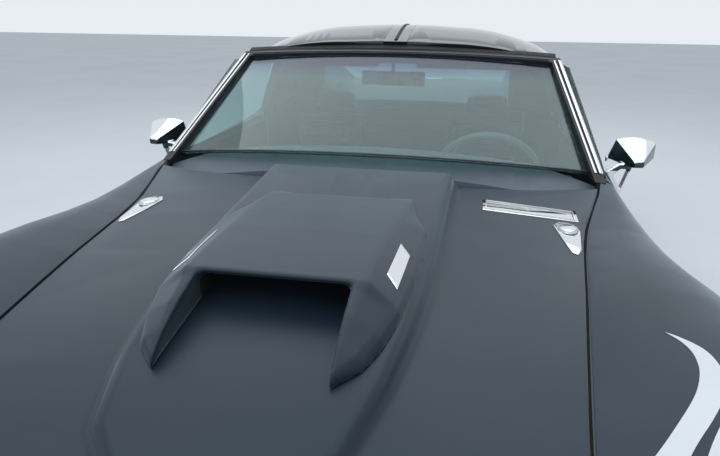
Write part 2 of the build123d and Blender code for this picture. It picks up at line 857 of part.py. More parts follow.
def screen_slab(side, above, below, front, back):
    """A curved slab on the windscreen's surface, from front to back of it along its normal."""
    normal = Vector(*screen_normal)
    lower = screen_arc(
        along(screen_top_corner, screen_base_corner, below), along(screen_top_middle, screen_base_middle, below), side
    )
    upper = screen_arc(
        along(screen_base_corner, screen_top_corner, above), along(screen_base_middle, screen_top_middle, above), side
    )
    surface = Face.make_surface_from_curves(lower.edge(), upper.edge()).moved(Location(normal * front))
    return extrude(surface, amount=front - back, dir=tuple(normal * -1))


def windscreen_frame(fender):
    """Pillars and header round the glass, their feet cut to the bodywork."""
    slab = screen_slab(
        screen_frame_side, screen_frame_top, screen_frame_foot, screen_frame_proud, -screen_frame_depth
    )
    slab -= screen_slab(0, 0, 300, 60, -100)
    for sign in (1, -1):
        slab -= sided(box(door_clear_x, 900, door_front_y - 10, 0, 0, belt_z + 6), sign)
    return slab - body_block(-620, -440) - fender - mirrored(fender)


def windscreen():
    return screen_slab(-seat_gap, -seat_gap, 0, 0, -screen_thickness)


def frame_space():
    return screen_slab(80, 60, 60, 60, -screen_frame_depth - seat_gap)


def roof_frame():
    """Hoop behind the doors, middle bar and the two buttresses, one moulding."""
    hoop = roof_skin(hoop_front_y, roof_rear_y, roof_wall)
    bar = roof_skin(bar_front_y, hoop_front_y, roof_wall) & box(
        -bar_half_width, bar_half_width, bar_front_y - 10, hoop_front_y + 10, 1000, 1300
    )
    block = roof_block(roof_rear_y, sail_end_y)
    sails = block - box(-sail_inner_x, sail_inner_x, roof_rear_y - 10, sail_end_y + 10, 700, 1300)
    solid = hoop + bar + sails
    solid -= body_block(door_rear_y + door_gap, tail_front_y - seat_gap)
    for sign in (1, -1):
        door_space = box(door_clear_x, 900, hoop_front_y - 10, door_rear_y + door_gap, 700, belt_z + 6)
        solid -= sided(door_space, sign)
    return solid - frame_space()


def roof_panel():
    x0 = bar_half_width + seat_gap
    y1 = hoop_front_y - seat_gap
    skin = roof_skin(roof_panel_front_y, y1, roof_panel_wall)
    return (skin & box(x0, 900, roof_panel_front_y - 1, y1 + 1, roof_panel_edge_z, 1300)) - frame_space()


def rear_window():
    half = sail_inner_x - seat_gap
    pane = box(-half, half, cabin_rear_y - rear_glass_thickness, cabin_rear_y, 800, 1200)
    return pane & roof_block(cabin_rear_y - 20, cabin_rear_y + 4, roof_wall + seat_gap, 100)


def pod_region(side, front, rear):
    return box(pod_inner_x - side, pod_outer_x + side, pod_front_y - front, pod_rear_y + rear, 560, 1000)


def pod_pin(radius):
    return rod_x(pod_inner_x - pod_gap - pin_reach, pod_outer_x + pod_gap + pin_reach, pod_pin_y, pod_pin_z, radius)


def header_panel():
    """Panel between nose and hood, with an opening for each pop-up lamp."""
    panel = wide_panel(nose_back_y + seat_gap, hood_front_y - hood_front_gap, panel_wall)
    cut = pod_region(pod_gap, pod_gap, pod_rear_gap) + pod_pin(pod_pin_radius + running_fit)
    return panel - cut - mirrored(cut)


def pod(sign):
    """Pop-up lamp: a lid in the panel's surface, a round-fronted bucket under it and two lamps."""
    faces = []
    y0, y1 = pod_front_y - 10, pod_rear_y + 10
    for y in stations(y0, y1):
        path = body_points(y)[2:]
        faces.append(closed_section(y, path, [(path[0][0], 500), (0, 500)]))
    block = loft(faces, ruled=True)
    lid = (block - Pos(0, 0, -pod_lid_wall) * block) & pod_region(0, 0, 0)
    reach = pod_pin_y - pod_front_y - pod_front_setback
    x0, x1 = pod_inner_x + pod_side_setback, pod_outer_x - pod_side_setback
    bucket = rod_x(x0, x1, pod_pin_y, pod_pin_z, reach)
    bucket &= box(x0, x1, pod_front_y, pod_pin_y, pod_pin_z - pod_depth, 900)
    bucket &= Pos(0, 0, -4) * block
    tilt = math.radians(pod_open_angle)
    facing = Vector(0, -math.cos(tilt), -math.sin(tilt))
    centre = Vector(0, pod_pin_y, pod_pin_z) + facing * reach
    for x in (x0 + lamp_radius + 8, x1 - lamp_radius - 8):
        plane = Plane(origin=(x, centre.Y, centre.Z), x_dir=(1, 0, 0), z_dir=facing)
        bucket -= plane * Pos(0, 0, -lamp_depth) * Cylinder(lamp_radius, 2 * lamp_depth)
    return sided(lid + bucket + pod_pin(pod_pin_radius), sign)


def chin_y(z):
    """The front of the sloping chin at a height."""
    return nose_y + (chin_top_z - z) * chin_slope


def nose_cover():
    """Soft nose with two grille openings in its chin."""
    solid = body_block(nose_y, nose_back_y)
    solid -= body_block(nose_y + nose_face_wall, nose_back_y + 1, nose_wall, nose_face_wall)
    for sign in (1, -1):
        for x0, x1, z0, z1 in grille_openings:
            solid -= sided(box(x0, x1, nose_y - 60, chin_y(z0) + 80, z0, z1), sign)
    return solid


def grille():
    """Level bars across each opening, stepped back with the chin."""
    bars = []
    for x0, x1, z0, z1 in grille_openings:
        pitch = (z1 - z0) / (grille_bar_count + 1)
        for i in range(grille_bar_count):
            z = z0 + pitch * (i + 1)
            y = chin_y(z) + 10
            bar = box(x0, x1 - turn_lamp_width, y, y + grille_bar_depth, z - grille_bar_height / 2, z + grille_bar_height / 2)
            bars += [bar, mirrored(bar)]
    return bars


def tail_cover():
    """Sloping soft tail with four round lamp holes and a recess for the plate."""
    front = tail_front_y
    solid = body_block(front, tail_y)
    solid -= body_block(front - 1, tail_y - nose_face_wall, nose_wall, -nose_face_wall)
    for sign in (1, -1):
        for x, z in rear_lamp_places:
            solid -= rod_y(sign * x, tail_y - 80, tail_y + 60, z, rear_lamp_radius)
    return solid - plate_recess()


def plate_recess():
    x = plate_recess_half_width
    recess = box(-x, x, tail_y - plate_recess_depth, tail_y + 60, *plate_recess_z)
    for sign in (1, -1):
        recess += rod_y(sign * plate_bolt_spacing / 2, tail_y - 80, tail_y, plate_bolt_z, plate_bolt_radius)
    return recess


def lamps():
    """Four round rear lamps and a turn lamp at the outer end of each front opening."""
    found = []
    for sign in (1, -1):
        for x, z in rear_lamp_places:
            found.append(rod_y(sign * x, tail_y - rear_lamp_length, tail_y - 4, z, rear_lamp_radius - seat_gap))
        for x0, x1, z0, z1 in grille_openings:
            y = chin_y(z0) - 16
            lamp = box(x1 - turn_lamp_width, x1, y, y + 24, z0, z1)
            found.append(sided(lamp, sign))
    return found


def seat():
    """Bucket seat: cushion, backrest and headrest in one block."""
    profile = side_prism(
        [
            (30, 246), (20, 330), (60, 392), (420, 350), (500, 640), (540, 820), (560, 900), (620, 930),
            (660, 900), (640, 700), (560, 246),
        ],
        178,
        528,
    )
    return profile


def dash():
    front = cowl_back_y + seat_gap
    profile = side_prism(
        [(front, 560), (front, 796), (-470, 806), (-408, 776), (-400, 640), (-470, 560)], -600, 600
    )
    console = box(-118, 118, -480, 430, tunnel_top_z, 500) + box(-118, 118, -500, -404, tunnel_top_z, 640)
    return profile + console


def wheel_plane(distance):
    tilt = math.radians(wheel_tilt)
    toward = Vector(0, math.cos(tilt), math.sin(tilt))
    return Plane(origin=Vector(*wheel_centre) + toward * distance, x_dir=(1, 0, 0), z_dir=toward)


def steering_column():
    start = wheel_plane(-32.3 - column_length)
    return extrude(start * Circle(column_radius), amount=column_length) - dash()


def steering_wheel():
    ring = Torus(wheel_diameter / 2 - wheel_grip_radius, wheel_grip_radius)
    hub = Pos(0, 0, -12) * Cylinder(34, 40)
    reach = wheel_diameter / 2 - wheel_grip_radius
    for angle in (0, 180, 270):
        hub += Rot(0, 0, angle) * Pos(reach / 2, 0, -4) * Box(reach, 28, 5)
    return wheel_plane(0) * (ring + hub)


def engine():
    """Engine and gearbox as one plain block on the crossmember."""
    return box(-290, 290, front_axle_y + 30, -724, front_rail_z, 690) + box(-120, 120, -724.5, -662, 262, 440)


def exhaust():
    start = -700
    pipe = rod_y(pipe_x, start, muffler_start_y + 20, pipe_z, pipe_radius)
    muffler = box(240, 410, muffler_start_y, 2020, 150, 262)
    tip = rod_y(330, 2000, 2280, 220, 32)
    return pipe + muffler + tip


def pairs(make):
    right = make()
    return Compound(children=[right, mirrored(right)])


rails = frame_rails()
fender = front_fender()
rear = rear_body()
tub = floor_tub(rails)
nodes = {
    "frame_rails": rails,
    "floor_tub": tub,
    "firewall": firewall(tub),
    "bulkhead": bulkhead(rails, tub, rear),
    "nose_cover": nose_cover(),
    "header_panel": header_panel(),
    "fender_left": fender,
    "fender_right": mirrored(fender),
    "cowl_panel": cowl_panel(),
    "windscreen_frame": windscreen_frame(fender),
    "windscreen": windscreen(),
    "roof_frame": roof_frame(),
    "roof_panels": pairs(roof_panel),
    "rear_window": rear_window(),
    "rear_body": rear,
    "tail_cover": tail_cover(),
    "rockers": pairs(rocker),
    "dash": dash(),
    "seats": pairs(seat),
    "engine": engine(),
    "exhaust": pairs(exhaust),
    "front_suspension": front_suspension(),
    "rear_suspension": rear_suspension(rails),
    "grille": Compound(children=grille()),
    "lamps": Compound(children=lamps()),
    "steering_column": steering_column(),
    "hood_panel": hood_panel(),
    "hood_scoop": scoop(),
    "hood_plates": Compound(children=hood_plates()),
    "steering_wheel": steering_wheel(),
}
for side, sign in (("left", 1), ("right", -1)):
    nodes[f"door_{side}"] = door(sign)
    nodes[f"door_glass_{side}"] = door_glass(sign)
    nodes[f"mirror_{side}"] = mirror_unit(sign)
    nodes[f"lamp_pod_{side}"] = pod(sign)
    nodes[f"knuckle_{side}"] = knuckle(sign)
    for place, y, track, width in (
        ("front", front_axle_y, front_track_half, front_tyre_width),
        ("rear", rear_axle_y, rear_track_half, rear_tyre_width),
    ):
        nodes[f"tyre_{place}_{side}"] = tyre(width, sign, y, track)
        nodes[f"rim_{place}_{side}"] = rim(width, sign, y, track)

os.makedirs("parts", exist_ok=True)
for name, shape in nodes.items():
    export_step(shape, f"parts/{name}.step")
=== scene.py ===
# Looks of a low two-seat sports coupe with a scooped hood and lift-off roof panels.
# Metres. +Z is up, the nose points along -Y and the driver sits on the +X side.
import json
import math

import bpy
from mathutils import Matrix, Vector

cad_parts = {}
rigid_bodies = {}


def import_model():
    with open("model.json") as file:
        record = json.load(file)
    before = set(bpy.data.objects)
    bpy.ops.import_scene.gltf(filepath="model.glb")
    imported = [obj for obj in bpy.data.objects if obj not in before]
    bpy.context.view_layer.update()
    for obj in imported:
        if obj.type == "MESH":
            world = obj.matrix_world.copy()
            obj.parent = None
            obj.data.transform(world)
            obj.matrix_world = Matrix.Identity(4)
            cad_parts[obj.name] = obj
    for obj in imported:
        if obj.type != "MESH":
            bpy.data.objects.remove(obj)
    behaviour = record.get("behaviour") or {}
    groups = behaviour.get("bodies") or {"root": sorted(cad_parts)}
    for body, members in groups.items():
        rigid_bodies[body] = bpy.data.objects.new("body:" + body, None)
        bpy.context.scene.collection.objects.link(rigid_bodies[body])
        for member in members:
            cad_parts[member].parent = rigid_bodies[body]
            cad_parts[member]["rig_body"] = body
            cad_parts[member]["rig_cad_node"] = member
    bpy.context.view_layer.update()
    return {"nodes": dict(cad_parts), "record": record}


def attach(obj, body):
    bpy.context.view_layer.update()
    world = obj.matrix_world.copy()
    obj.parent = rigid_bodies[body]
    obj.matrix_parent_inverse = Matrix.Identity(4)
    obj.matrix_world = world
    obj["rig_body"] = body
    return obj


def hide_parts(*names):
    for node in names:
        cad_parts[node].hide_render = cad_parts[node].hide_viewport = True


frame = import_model()
nodes = frame["nodes"]
sides = {"left": 1, "right": -1}
bar_edge = 0.3  # softened edge of a bar, as a share of its thinner side
merge_distance, fine_merge_distance = 0.00002, 0.000005
flat_angle, sharp_angle = 0.6, 38  # degrees: faces closer than this are one, edges beyond this are softened


# Hand tools

def pick_nothing():
    """Leaves edit mode and clears the selection."""
    if bpy.context.object and bpy.context.object.mode != "OBJECT":
        bpy.ops.object.mode_set(mode="OBJECT")
    bpy.ops.object.select_all(action="DESELECT")


def pick(piece):
    """Makes one object the active and only selected one."""
    pick_nothing()
    piece.select_set(True)
    bpy.context.view_layer.objects.active = piece


def rename(piece, name):
    """Gives an object and its mesh one name."""
    piece.name = name
    piece.data.name = name
    return piece


def named(name):
    """Names the object that an operator has just added, and settles its place into its mesh."""
    piece = rename(bpy.context.object, name)
    bpy.ops.object.transform_apply(location=True, rotation=True, scale=True)
    return piece


def edit(piece, test=None):
    """Opens edit mode with all faces chosen, or with those that pass a test of their place and normal."""
    pick(piece)
    mesh = piece.data
    for group in (mesh.vertices, mesh.edges, mesh.polygons):
        group.foreach_set("select", [test is None] * len(group))
    if test:
        for face in mesh.polygons:
            face.select = bool(test(face.center, face.normal))
    bpy.context.tool_settings.mesh_select_mode = (False, False, True)
    bpy.ops.object.mode_set(mode="EDIT")


def done():
    """Closes edit mode."""
    bpy.ops.object.mode_set(mode="OBJECT")


def modify(piece, kind, **values):
    """Adds a modifier with these values and applies it."""
    pick(piece)
    modifier = piece.modifiers.new(kind.title(), kind)
    for key, value in values.items():
        setattr(modifier, key, value)
    bpy.ops.object.modifier_apply(modifier=modifier.name)


def smooth(piece, degrees):
    """Shades a piece smooth, apart from the edges that turn by more than an angle."""
    pick(piece)
    bpy.ops.object.shade_smooth_by_angle(angle=math.radians(degrees))
    return piece


def bevel(piece, width, segments, degrees):
    """Rounds the edges that turn by more than an angle."""
    modify(piece, "BEVEL", width=width, segments=segments,
           limit_method="ANGLE", angle_limit=math.radians(degrees))


def soften(piece, width, segments=2, degrees=35):
    """Rounds a piece's edges and shades it smooth."""
    bevel(piece, width, segments, degrees)
    return smooth(piece, 50)


def block(name, low, high, width, segments=2):
    """A box between two corners with softened edges."""
    size = [b - a for a, b in zip(low, high)]
    middle = [(a + b) / 2 for a, b in zip(low, high)]
    pick_nothing()
    bpy.ops.mesh.primitive_cube_add(size=1, location=middle, scale=size)
    return soften(named(name), width, segments)


def turn_to(direction):
    """The turn that lays the Z axis along a direction."""
    return Vector(direction).to_track_quat("Z", "Y").to_euler()


def disc(name, place, direction, radius, depth, points=32, width=0.0015):
    """A short cylinder centred at a place, its axis along a direction."""
    pick_nothing()
    bpy.ops.mesh.primitive_cylinder_add(
        vertices=points, radius=radius, depth=depth, location=place, rotation=turn_to(direction)
    )
    return soften(named(name), width, 2, 50)


def hoop(name, place, direction, radius, thickness, points):
    """A ring of round section about a direction."""
    pick_nothing()
    bpy.ops.mesh.primitive_torus_add(
        major_radius=radius, minor_radius=thickness, major_segments=points, minor_segments=10,
        location=place, rotation=turn_to(direction),
    )
    return smooth(named(name), 60)


def strip(name, start, end, width, thickness, facing):
    """A flat bar from start to end, its broad face turned to a direction."""
    start, end = Vector(start), Vector(end)
    along = (end - start).normalized()
    across = along.cross(Vector(facing)).normalized()
    out = across.cross(along)
    pick_nothing()
    bpy.ops.mesh.primitive_cube_add(size=1)
    turn = Matrix((across, along, out)).transposed().to_4x4()
    size = Matrix.Diagonal((width, (end - start).length, thickness, 1))
    bpy.context.object.matrix_world = Matrix.Translation((start + end) / 2) @ turn @ size
    return soften(named(name), min(width, thickness) * bar_edge)


def mirror_copy(piece, name):
    """A copy with its own mesh, mirrored to the other side of the car."""
    pick(piece)
    bpy.ops.object.duplicate()
    twin = rename(bpy.context.object, name)
    edit(twin)
    bpy.ops.transform.resize(value=(-1, 1, 1), center_override=(0, 0, 0))
    bpy.ops.mesh.normals_make_consistent(inside=False)
    done()
    return twin


def joined(name, pieces):
    """Joins pieces into the first of them, under a new name."""
    pick(pieces[0])
    for piece in pieces[1:]:
        piece.select_set(True)
    bpy.ops.object.join()
    return rename(bpy.context.object, name)


def cast(name, node, degrees=32, edge=0.0, segments=2, keep=None):
    """A merged copy of a CAD node, smooth over its gentle bends and softened at its edges.

    With keep, a test of place and normal, only the faces that pass it stay.
    """
    pick(nodes[node])
    bpy.ops.object.duplicate()
    piece = bpy.context.object
    piece.parent = None
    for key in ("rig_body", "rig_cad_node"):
        if key in piece:
            del piece[key]
    rename(piece, name)
    piece.data.materials.clear()
    if piece.data.has_custom_normals:
        bpy.ops.mesh.customdata_custom_splitnormals_clear()
    edit(piece)
    bpy.ops.mesh.remove_doubles(threshold=merge_distance)
    if keep:
        done()
        edit(piece, lambda c, n: not keep(c, n))
        bpy.ops.mesh.delete(type="FACE")
        bpy.ops.mesh.select_all(action="SELECT")
    bpy.ops.mesh.dissolve_limited(angle_limit=math.radians(flat_angle))
    done()
    if edge:
        bevel(piece, edge, segments, sharp_angle)
    return smooth(piece, degrees)


# Finishes

rough_patch_share = 1.7  # scale of the patches of roughness over that of the patches of colour
bump_depth = 0.001


def effect(name):
    """An empty group with inputs Scale, Low and High and output Value, and its two end nodes."""
    group = bpy.data.node_groups.new(name, "ShaderNodeTree")
    for label, value in (("Scale", 8.0), ("Low", 0.0), ("High", 1.0)):
        socket = group.interface.new_socket(name=label, in_out="INPUT", socket_type="NodeSocketFloat")
        socket.default_value = value
    group.interface.new_socket(name="Value", in_out="OUTPUT", socket_type="NodeSocketFloat")
    return group, group.nodes.new("NodeGroupInput"), group.nodes.new("NodeGroupOutput")


def put_out(group, inputs, outputs, value, lowest=0.0, highest=1.0):
    """Spreads a value over the range from Low to High and puts it out."""
    spread = group.nodes.new("ShaderNodeMapRange")
    spread.inputs["From Min"].default_value = lowest
    spread.inputs["From Max"].default_value = highest
    link = group.links.new
    link(value, spread.inputs["Value"])
    link(inputs.outputs["Low"], spread.inputs["To Min"])
    link(inputs.outputs["High"], spread.inputs["To Max"])
    link(spread.outputs[0], outputs.inputs["Value"])


def make_clouding():
    """Soft uneven patches between two values."""
    group, inputs, outputs = effect("clouding")
    place = group.nodes.new("ShaderNodeTexCoord")
    noise = group.nodes.new("ShaderNodeTexNoise")
    noise.inputs["Detail"].default_value = 5
    noise.inputs["Roughness"].default_value = 0.6
    group.links.new(place.outputs["Object"], noise.inputs["Vector"])
    group.links.new(inputs.outputs["Scale"], noise.inputs["Scale"])
    put_out(group, inputs, outputs, noise.outputs[0], 0.32, 0.68)
    return group


def make_grain():
    """Fine pebbled height, as on vinyl, leather, rubber or sprayed paint."""
    group, inputs, outputs = effect("grain")
    place = group.nodes.new("ShaderNodeTexCoord")
    cells = group.nodes.new("ShaderNodeTexVoronoi")
    cells.feature = "F1"
    noise = group.nodes.new("ShaderNodeTexNoise")
    noise.inputs["Detail"].default_value = 3
    blend = group.nodes.new("ShaderNodeMath")
    blend.operation = "MULTIPLY"
    for texture in (cells, noise):
        group.links.new(place.outputs["Object"], texture.inputs["Vector"])
        group.links.new(inputs.outputs["Scale"], texture.inputs["Scale"])
    group.links.new(cells.outputs["Distance"], blend.inputs[0])
    group.links.new(noise.outputs[0], blend.inputs[1])
    put_out(group, inputs, outputs, blend.outputs[0])
    return group


clouding = make_clouding()
grain = make_grain()


def placed(tree, group, scale, low, high):
    """Puts an effect into a material and returns its output."""
    node = tree.nodes.new("ShaderNodeGroup")
    node.node_tree = group
    for label, value in (("Scale", scale), ("Low", low), ("High", high)):
        node.inputs[label].default_value = value
    return node.outputs[0]


def colour_mix(tree, low_colour, high_colour):
    """A mix of two colours: its factor input and its colour output. Inputs 6 and 7 are the colours."""
    mix = tree.nodes.new("ShaderNodeMix")
    mix.data_type = "RGBA"
    mix.inputs[6].default_value = (*low_colour, 1)
    mix.inputs[7].default_value = (*high_colour, 1)
    return mix.inputs[0], mix.outputs[2]


def finish(name, dark, pale, rough, patch=6.0, metal=0.0, coat=0.0, bump=0.0, bump_scale=400.0, **sockets):
    """A material whose colour and roughness wander between two values, with a grained surface."""
    material = bpy.data.materials.new(name)
    material.use_nodes = True
    tree = material.node_tree
    shader = tree.nodes["Principled BSDF"]
    shader.inputs["Metallic"].default_value = metal
    shader.inputs["Coat Weight"].default_value = coat
    for label, value in sockets.items():
        shader.inputs[label.replace("_", " ")].default_value = value
    factor, colour = colour_mix(tree, dark, pale)
    tree.links.new(placed(tree, clouding, patch, 0, 1), factor)
    tree.links.new(colour, shader.inputs["Base Color"])
    if rough[0] == rough[1]:
        shader.inputs["Roughness"].default_value = rough[0]
    else:
        patches = placed(tree, clouding, patch * rough_patch_share, *rough)
        tree.links.new(patches, shader.inputs["Roughness"])
    if bump:
        height = tree.nodes.new("ShaderNodeBump")
        height.inputs["Strength"].default_value = bump
        height.inputs["Distance"].default_value = bump_depth
        tree.links.new(placed(tree, grain, bump_scale, 0, 1), height.inputs["Height"])
        tree.links.new(height.outputs[0], shader.inputs["Normal"])
    return material


def height_tint(material, low_z, high_z, low_colour, high_colour):
    """Runs the colour of a glass from one tint to another over a range of height."""
    tree = material.node_tree
    place = tree.nodes.new("ShaderNodeTexCoord")
    split = tree.nodes.new("ShaderNodeSeparateXYZ")
    spread = tree.nodes.new("ShaderNodeMapRange")
    spread.inputs["From Min"].default_value = low_z
    spread.inputs["From Max"].default_value = high_z
    factor, colour = colour_mix(tree, low_colour, high_colour)
    link = tree.links.new
    link(place.outputs["Object"], split.inputs[0])
    link(split.outputs["Z"], spread.inputs["Value"])
    link(spread.outputs[0], factor)
    link(colour, tree.nodes["Principled BSDF"].inputs["Base Color"])


# Each finish: name, two colours and two values of roughness that it wanders between, scale of its patches
# The paint's bluish specular and sheen tints are painted reflection colour: the blue of the sky that the paint
# reflects
paint = finish("satin_paint", (0.005, 0.013, 0.023), (0.008, 0.017, 0.030), (0.34, 0.42), 1.6,
               bump=0.06, bump_scale=900, Specular_IOR_Level=0.45, Specular_Tint=(0.84, 0.94, 1.0, 1),
               Sheen_Weight=0.44, Sheen_Roughness=0.33, Sheen_Tint=(0.76, 0.91, 1.0, 1))
# A lighter copy of the body paint for the cowl: painted light on the cowl, which lies in shade under the
# windscreen
cowl_painted_light = finish("cowl_painted_light", (0.100, 0.125, 0.150), (0.120, 0.148, 0.175), (0.5, 0.6), 5.0, bump=0.1)
gloss_black = finish("gloss_black", (0.008, 0.009, 0.011), (0.014, 0.015, 0.018), (0.05, 0.11), 2.0, coat=0.6)
black_trim = finish("black_trim", (0.012, 0.013, 0.015), (0.022, 0.023, 0.026), (0.45, 0.62), 9.0, bump=0.15)
rubber = finish("rubber_seal", (0.010, 0.010, 0.011), (0.018, 0.018, 0.019), (0.6, 0.75), 12.0, bump=0.2)
chrome = finish("chrome", (0.80, 0.81, 0.83), (0.88, 0.89, 0.90), (0.04, 0.11), 5.0, metal=1.0)
dull_chrome = finish("brushed_trim", (0.55, 0.56, 0.58), (0.68, 0.69, 0.70), (0.22, 0.36), 8.0, metal=1.0)
wheel_silver = finish("wheel_silver", (0.42, 0.43, 0.45), (0.52, 0.53, 0.55), (0.28, 0.40), 7.0, metal=0.85)
chassis = finish("chassis_black", (0.020, 0.020, 0.021), (0.045, 0.042, 0.040), (0.5, 0.75), 5.0,
                 bump=0.3, bump_scale=180)
underbody = finish("underbody", (0.045, 0.045, 0.046), (0.075, 0.072, 0.068), (0.7, 0.9), 4.0,
                   bump=0.4, bump_scale=150)
vinyl = finish("grained_vinyl", (0.016, 0.016, 0.018), (0.028, 0.028, 0.030), (0.48, 0.62), 6.0,
               bump=0.35, bump_scale=520)
leather = finish("leather", (0.020, 0.019, 0.019), (0.036, 0.034, 0.033), (0.42, 0.58), 7.0,
                 bump=0.4, bump_scale=420)
carpet = finish("carpet", (0.014, 0.014, 0.015), (0.034, 0.034, 0.036), (0.9, 1.0), 90.0,
                bump=0.9, bump_scale=900)
cast_iron = finish("cast_iron", (0.17, 0.17, 0.18), (0.26, 0.25, 0.24), (0.5, 0.7), 6.0,
                   metal=0.6, bump=0.4, bump_scale=160)
steel = finish("exhaust_steel", (0.30, 0.27, 0.24), (0.48, 0.47, 0.45), (0.35, 0.55), 5.0, metal=0.9)
tyre_rubber = finish("tyre_rubber", (0.018, 0.018, 0.019), (0.034, 0.034, 0.035), (0.7, 0.88), 14.0,
                     bump=0.35, bump_scale=320)
white_paint = finish("white_stripe", (0.70, 0.72, 0.74), (0.78, 0.80, 0.82), (0.35, 0.45), 5.0)
glass = finish("tinted_glass", (0.60, 0.82, 0.82), (0.64, 0.86, 0.85), (0.0, 0.0), 3.0,
               Transmission_Weight=0.97, IOR=1.45)
side_glass = finish("side_glass", (0.52, 0.70, 0.70), (0.56, 0.74, 0.73), (0.0, 0.0), 3.0,
                    Transmission_Weight=0.96, IOR=1.45)
red_lens = finish("red_lens", (0.55, 0.02, 0.02), (0.65, 0.03, 0.02), (0.08, 0.14), 12.0,
                  coat=0.6, Transmission_Weight=0.25)
amber_lens = finish("amber_lens", (0.85, 0.33, 0.04), (0.95, 0.40, 0.06), (0.08, 0.14), 12.0,
                    coat=0.6, Transmission_Weight=0.25)
clear_lens = finish("clear_lens", (0.86, 0.88, 0.90), (0.94, 0.95, 0.96), (0.03, 0.08), 9.0,
                    Transmission_Weight=0.8)
grey_trim = finish("grey_trim", (0.040, 0.046, 0.052), (0.060, 0.066, 0.072), (0.30, 0.42), 9.0, metal=0.4)
# A darker, bluish copy of chrome for the mirrors' sides and undersides: painted reflection of the dark ground
# and the car
chrome_painted_dark_reflection = finish("chrome_painted_dark_reflection", (0.035, 0.055, 0.072), (0.075, 0.100, 0.120), (0.10, 0.22), 30.0,
                       metal=1.0)
mirror_glass = finish("mirror_glass", (0.72, 0.74, 0.76), (0.78, 0.80, 0.82), (0.01, 0.03), 5.0, metal=1.0)
rim_grey = finish("rim_grey", (0.15, 0.16, 0.17), (0.20, 0.21, 0.22), (0.35, 0.48), 12.0, bump=0.2)
plate_paint = finish("plate_paint", (0.62, 0.63, 0.64), (0.70, 0.71, 0.72), (0.30, 0.42), 6.0)
gauge_black = finish("gauge_black", (0.010, 0.010, 0.011), (0.018, 0.018, 0.019), (0.22, 0.35), 8.0)
# Near-black for the inside of the hood scoop: painted shade where little light reaches under its lip
cavity_painted_shade = finish("cavity_painted_shade", (0.004, 0.004, 0.005), (0.008, 0.008, 0.009), (0.7, 0.85), 8.0, bump=0.2)
# The windscreen is tinted darker in a band at its top
height_tint(glass, 1.045, 1.095, (0.52, 0.76, 0.75), (0.20, 0.24, 0.44))

slot_finish = {
    "body_paint": paint, "gloss_black": gloss_black, "cowl_black": black_trim, "chrome_trim": chrome,
    "tinted_glass": side_glass, "chassis_black": chassis, "underbody": underbody, "trim_vinyl": vinyl,
    "seat_leather": leather, "cast_metal": cast_iron, "steel": steel, "lamp_glass": red_lens,
    "tyre": tyre_rubber, "wheel_metal": wheel_silver,
}
node_slot = {part["node"]: part["material_slot"] for part in frame["record"]["subparts"]}
bodies = frame["record"]["behaviour"]["bodies"]
node_body = {name: body for body, members in bodies.items() for name in members}
for name, node in nodes.items():
    node.data.materials.clear()
    node.data.materials.append(glass if name == "windscreen" else slot_finish[node_slot[name]])


def dress(piece, material, body):
    """Gives a piece its finish and the body that it rides on."""
    piece.data.materials.clear()
    piece.data.materials.append(material)
    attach(piece, body)
    return piece


def reskin(name, node, material, degrees, edge, segments=2):
    """Puts a cast with this finish in the place of its CAD node."""
    piece = cast(name, node, degrees, edge, segments)
    dress(piece, material, node_body[node])
    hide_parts(node)
    return piece


def remeshed(name, node, voxel, rounds):
    """A cast of a CAD node as one even, rounded skin."""
    piece = cast(name, node)
    modify(piece, "REMESH", mode="VOXEL", voxel_size=voxel)
    modify(piece, "SMOOTH", factor=0.5, iterations=rounds)
    return smooth(piece, 80)


def paint_faces(piece, material, test):
    """Gives one more finish to the faces that pass a test of their place and normal."""
    piece.data.materials.append(material)
    for face in piece.data.polygons:
        if test(face.center, face.normal):
            face.material_index = len(piece.data.materials) - 1


# Skins over the CAD panels. Columns: node, finish, smooth angle, softened edge
skins = [
    ("hood_panel", paint, 24, 0.0015),
    ("header_panel", paint, 26, 0.0015),
    ("nose_cover", paint, 30, 0.0),
    ("tail_cover", paint, 30, 0.0),
    ("rear_body", paint, 30, 0.0),
    ("roof_frame", paint, 30, 0.0),
    ("roof_panels", gloss_black, 30, 0.002),
    # The cowl gets the painted-light copy of the body paint
    ("cowl_panel", cowl_painted_light, 30, 0.0015),
    ("rockers", paint, 30, 0.0015),
    ("windscreen_frame", black_trim, 30, 0.0),
]
for side in sides:
    skins.append((f"fender_{side}", paint, 26, 0.0015))
    skins.append((f"door_{side}", paint, 26, 0.0015))
    skins.append((f"lamp_pod_{side}", paint, 30, 0.0015))
skin = {}
for node, material, degrees, edge in skins:
    skin[node] = reskin(f"skin_{node}", node, material, degrees, edge)

# The scoop is remeshed into one smooth skin, and its cavity is painted near-black: painted shade inside the
# scoop
duct_half_width, duct_front, duct_back, duct_wall = 0.132, -1.497, -1.17, -1.40


def in_duct(place, out):
    """Tells the faces of the cavity: its top, its sides and its back wall."""
    walled = out.z < -0.25 or out.x * place.x < -0.02 or (out.y < -0.4 and place.y > duct_wall)
    return abs(place.x) < duct_half_width and duct_front < place.y < duct_back and walled


scoop = remeshed("skin_hood_scoop", "hood_scoop", 0.003, 24)
dress(scoop, paint, "hood")
# The cavity's top, sides and back wall get the painted shade
paint_faces(scoop, cavity_painted_shade, in_duct)
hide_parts("hood_scoop")
skin["hood_scoop"] = scoop


def on_skin(node, start, direction):
    """Where a ray meets a skin, and the skin's normal there."""
    hit, place, normal, _ = skin[node].ray_cast(Vector(start), Vector(direction))
    if not hit:
        raise ValueError(f"no {node} beyond {tuple(start)}")
    return place, normal


def drop_on(node, x, y, top=1.2):
    """Where a plumb line from a height meets a skin, and the skin's normal there."""
    return on_skin(node, (x, y, top), (0, 0, -1))


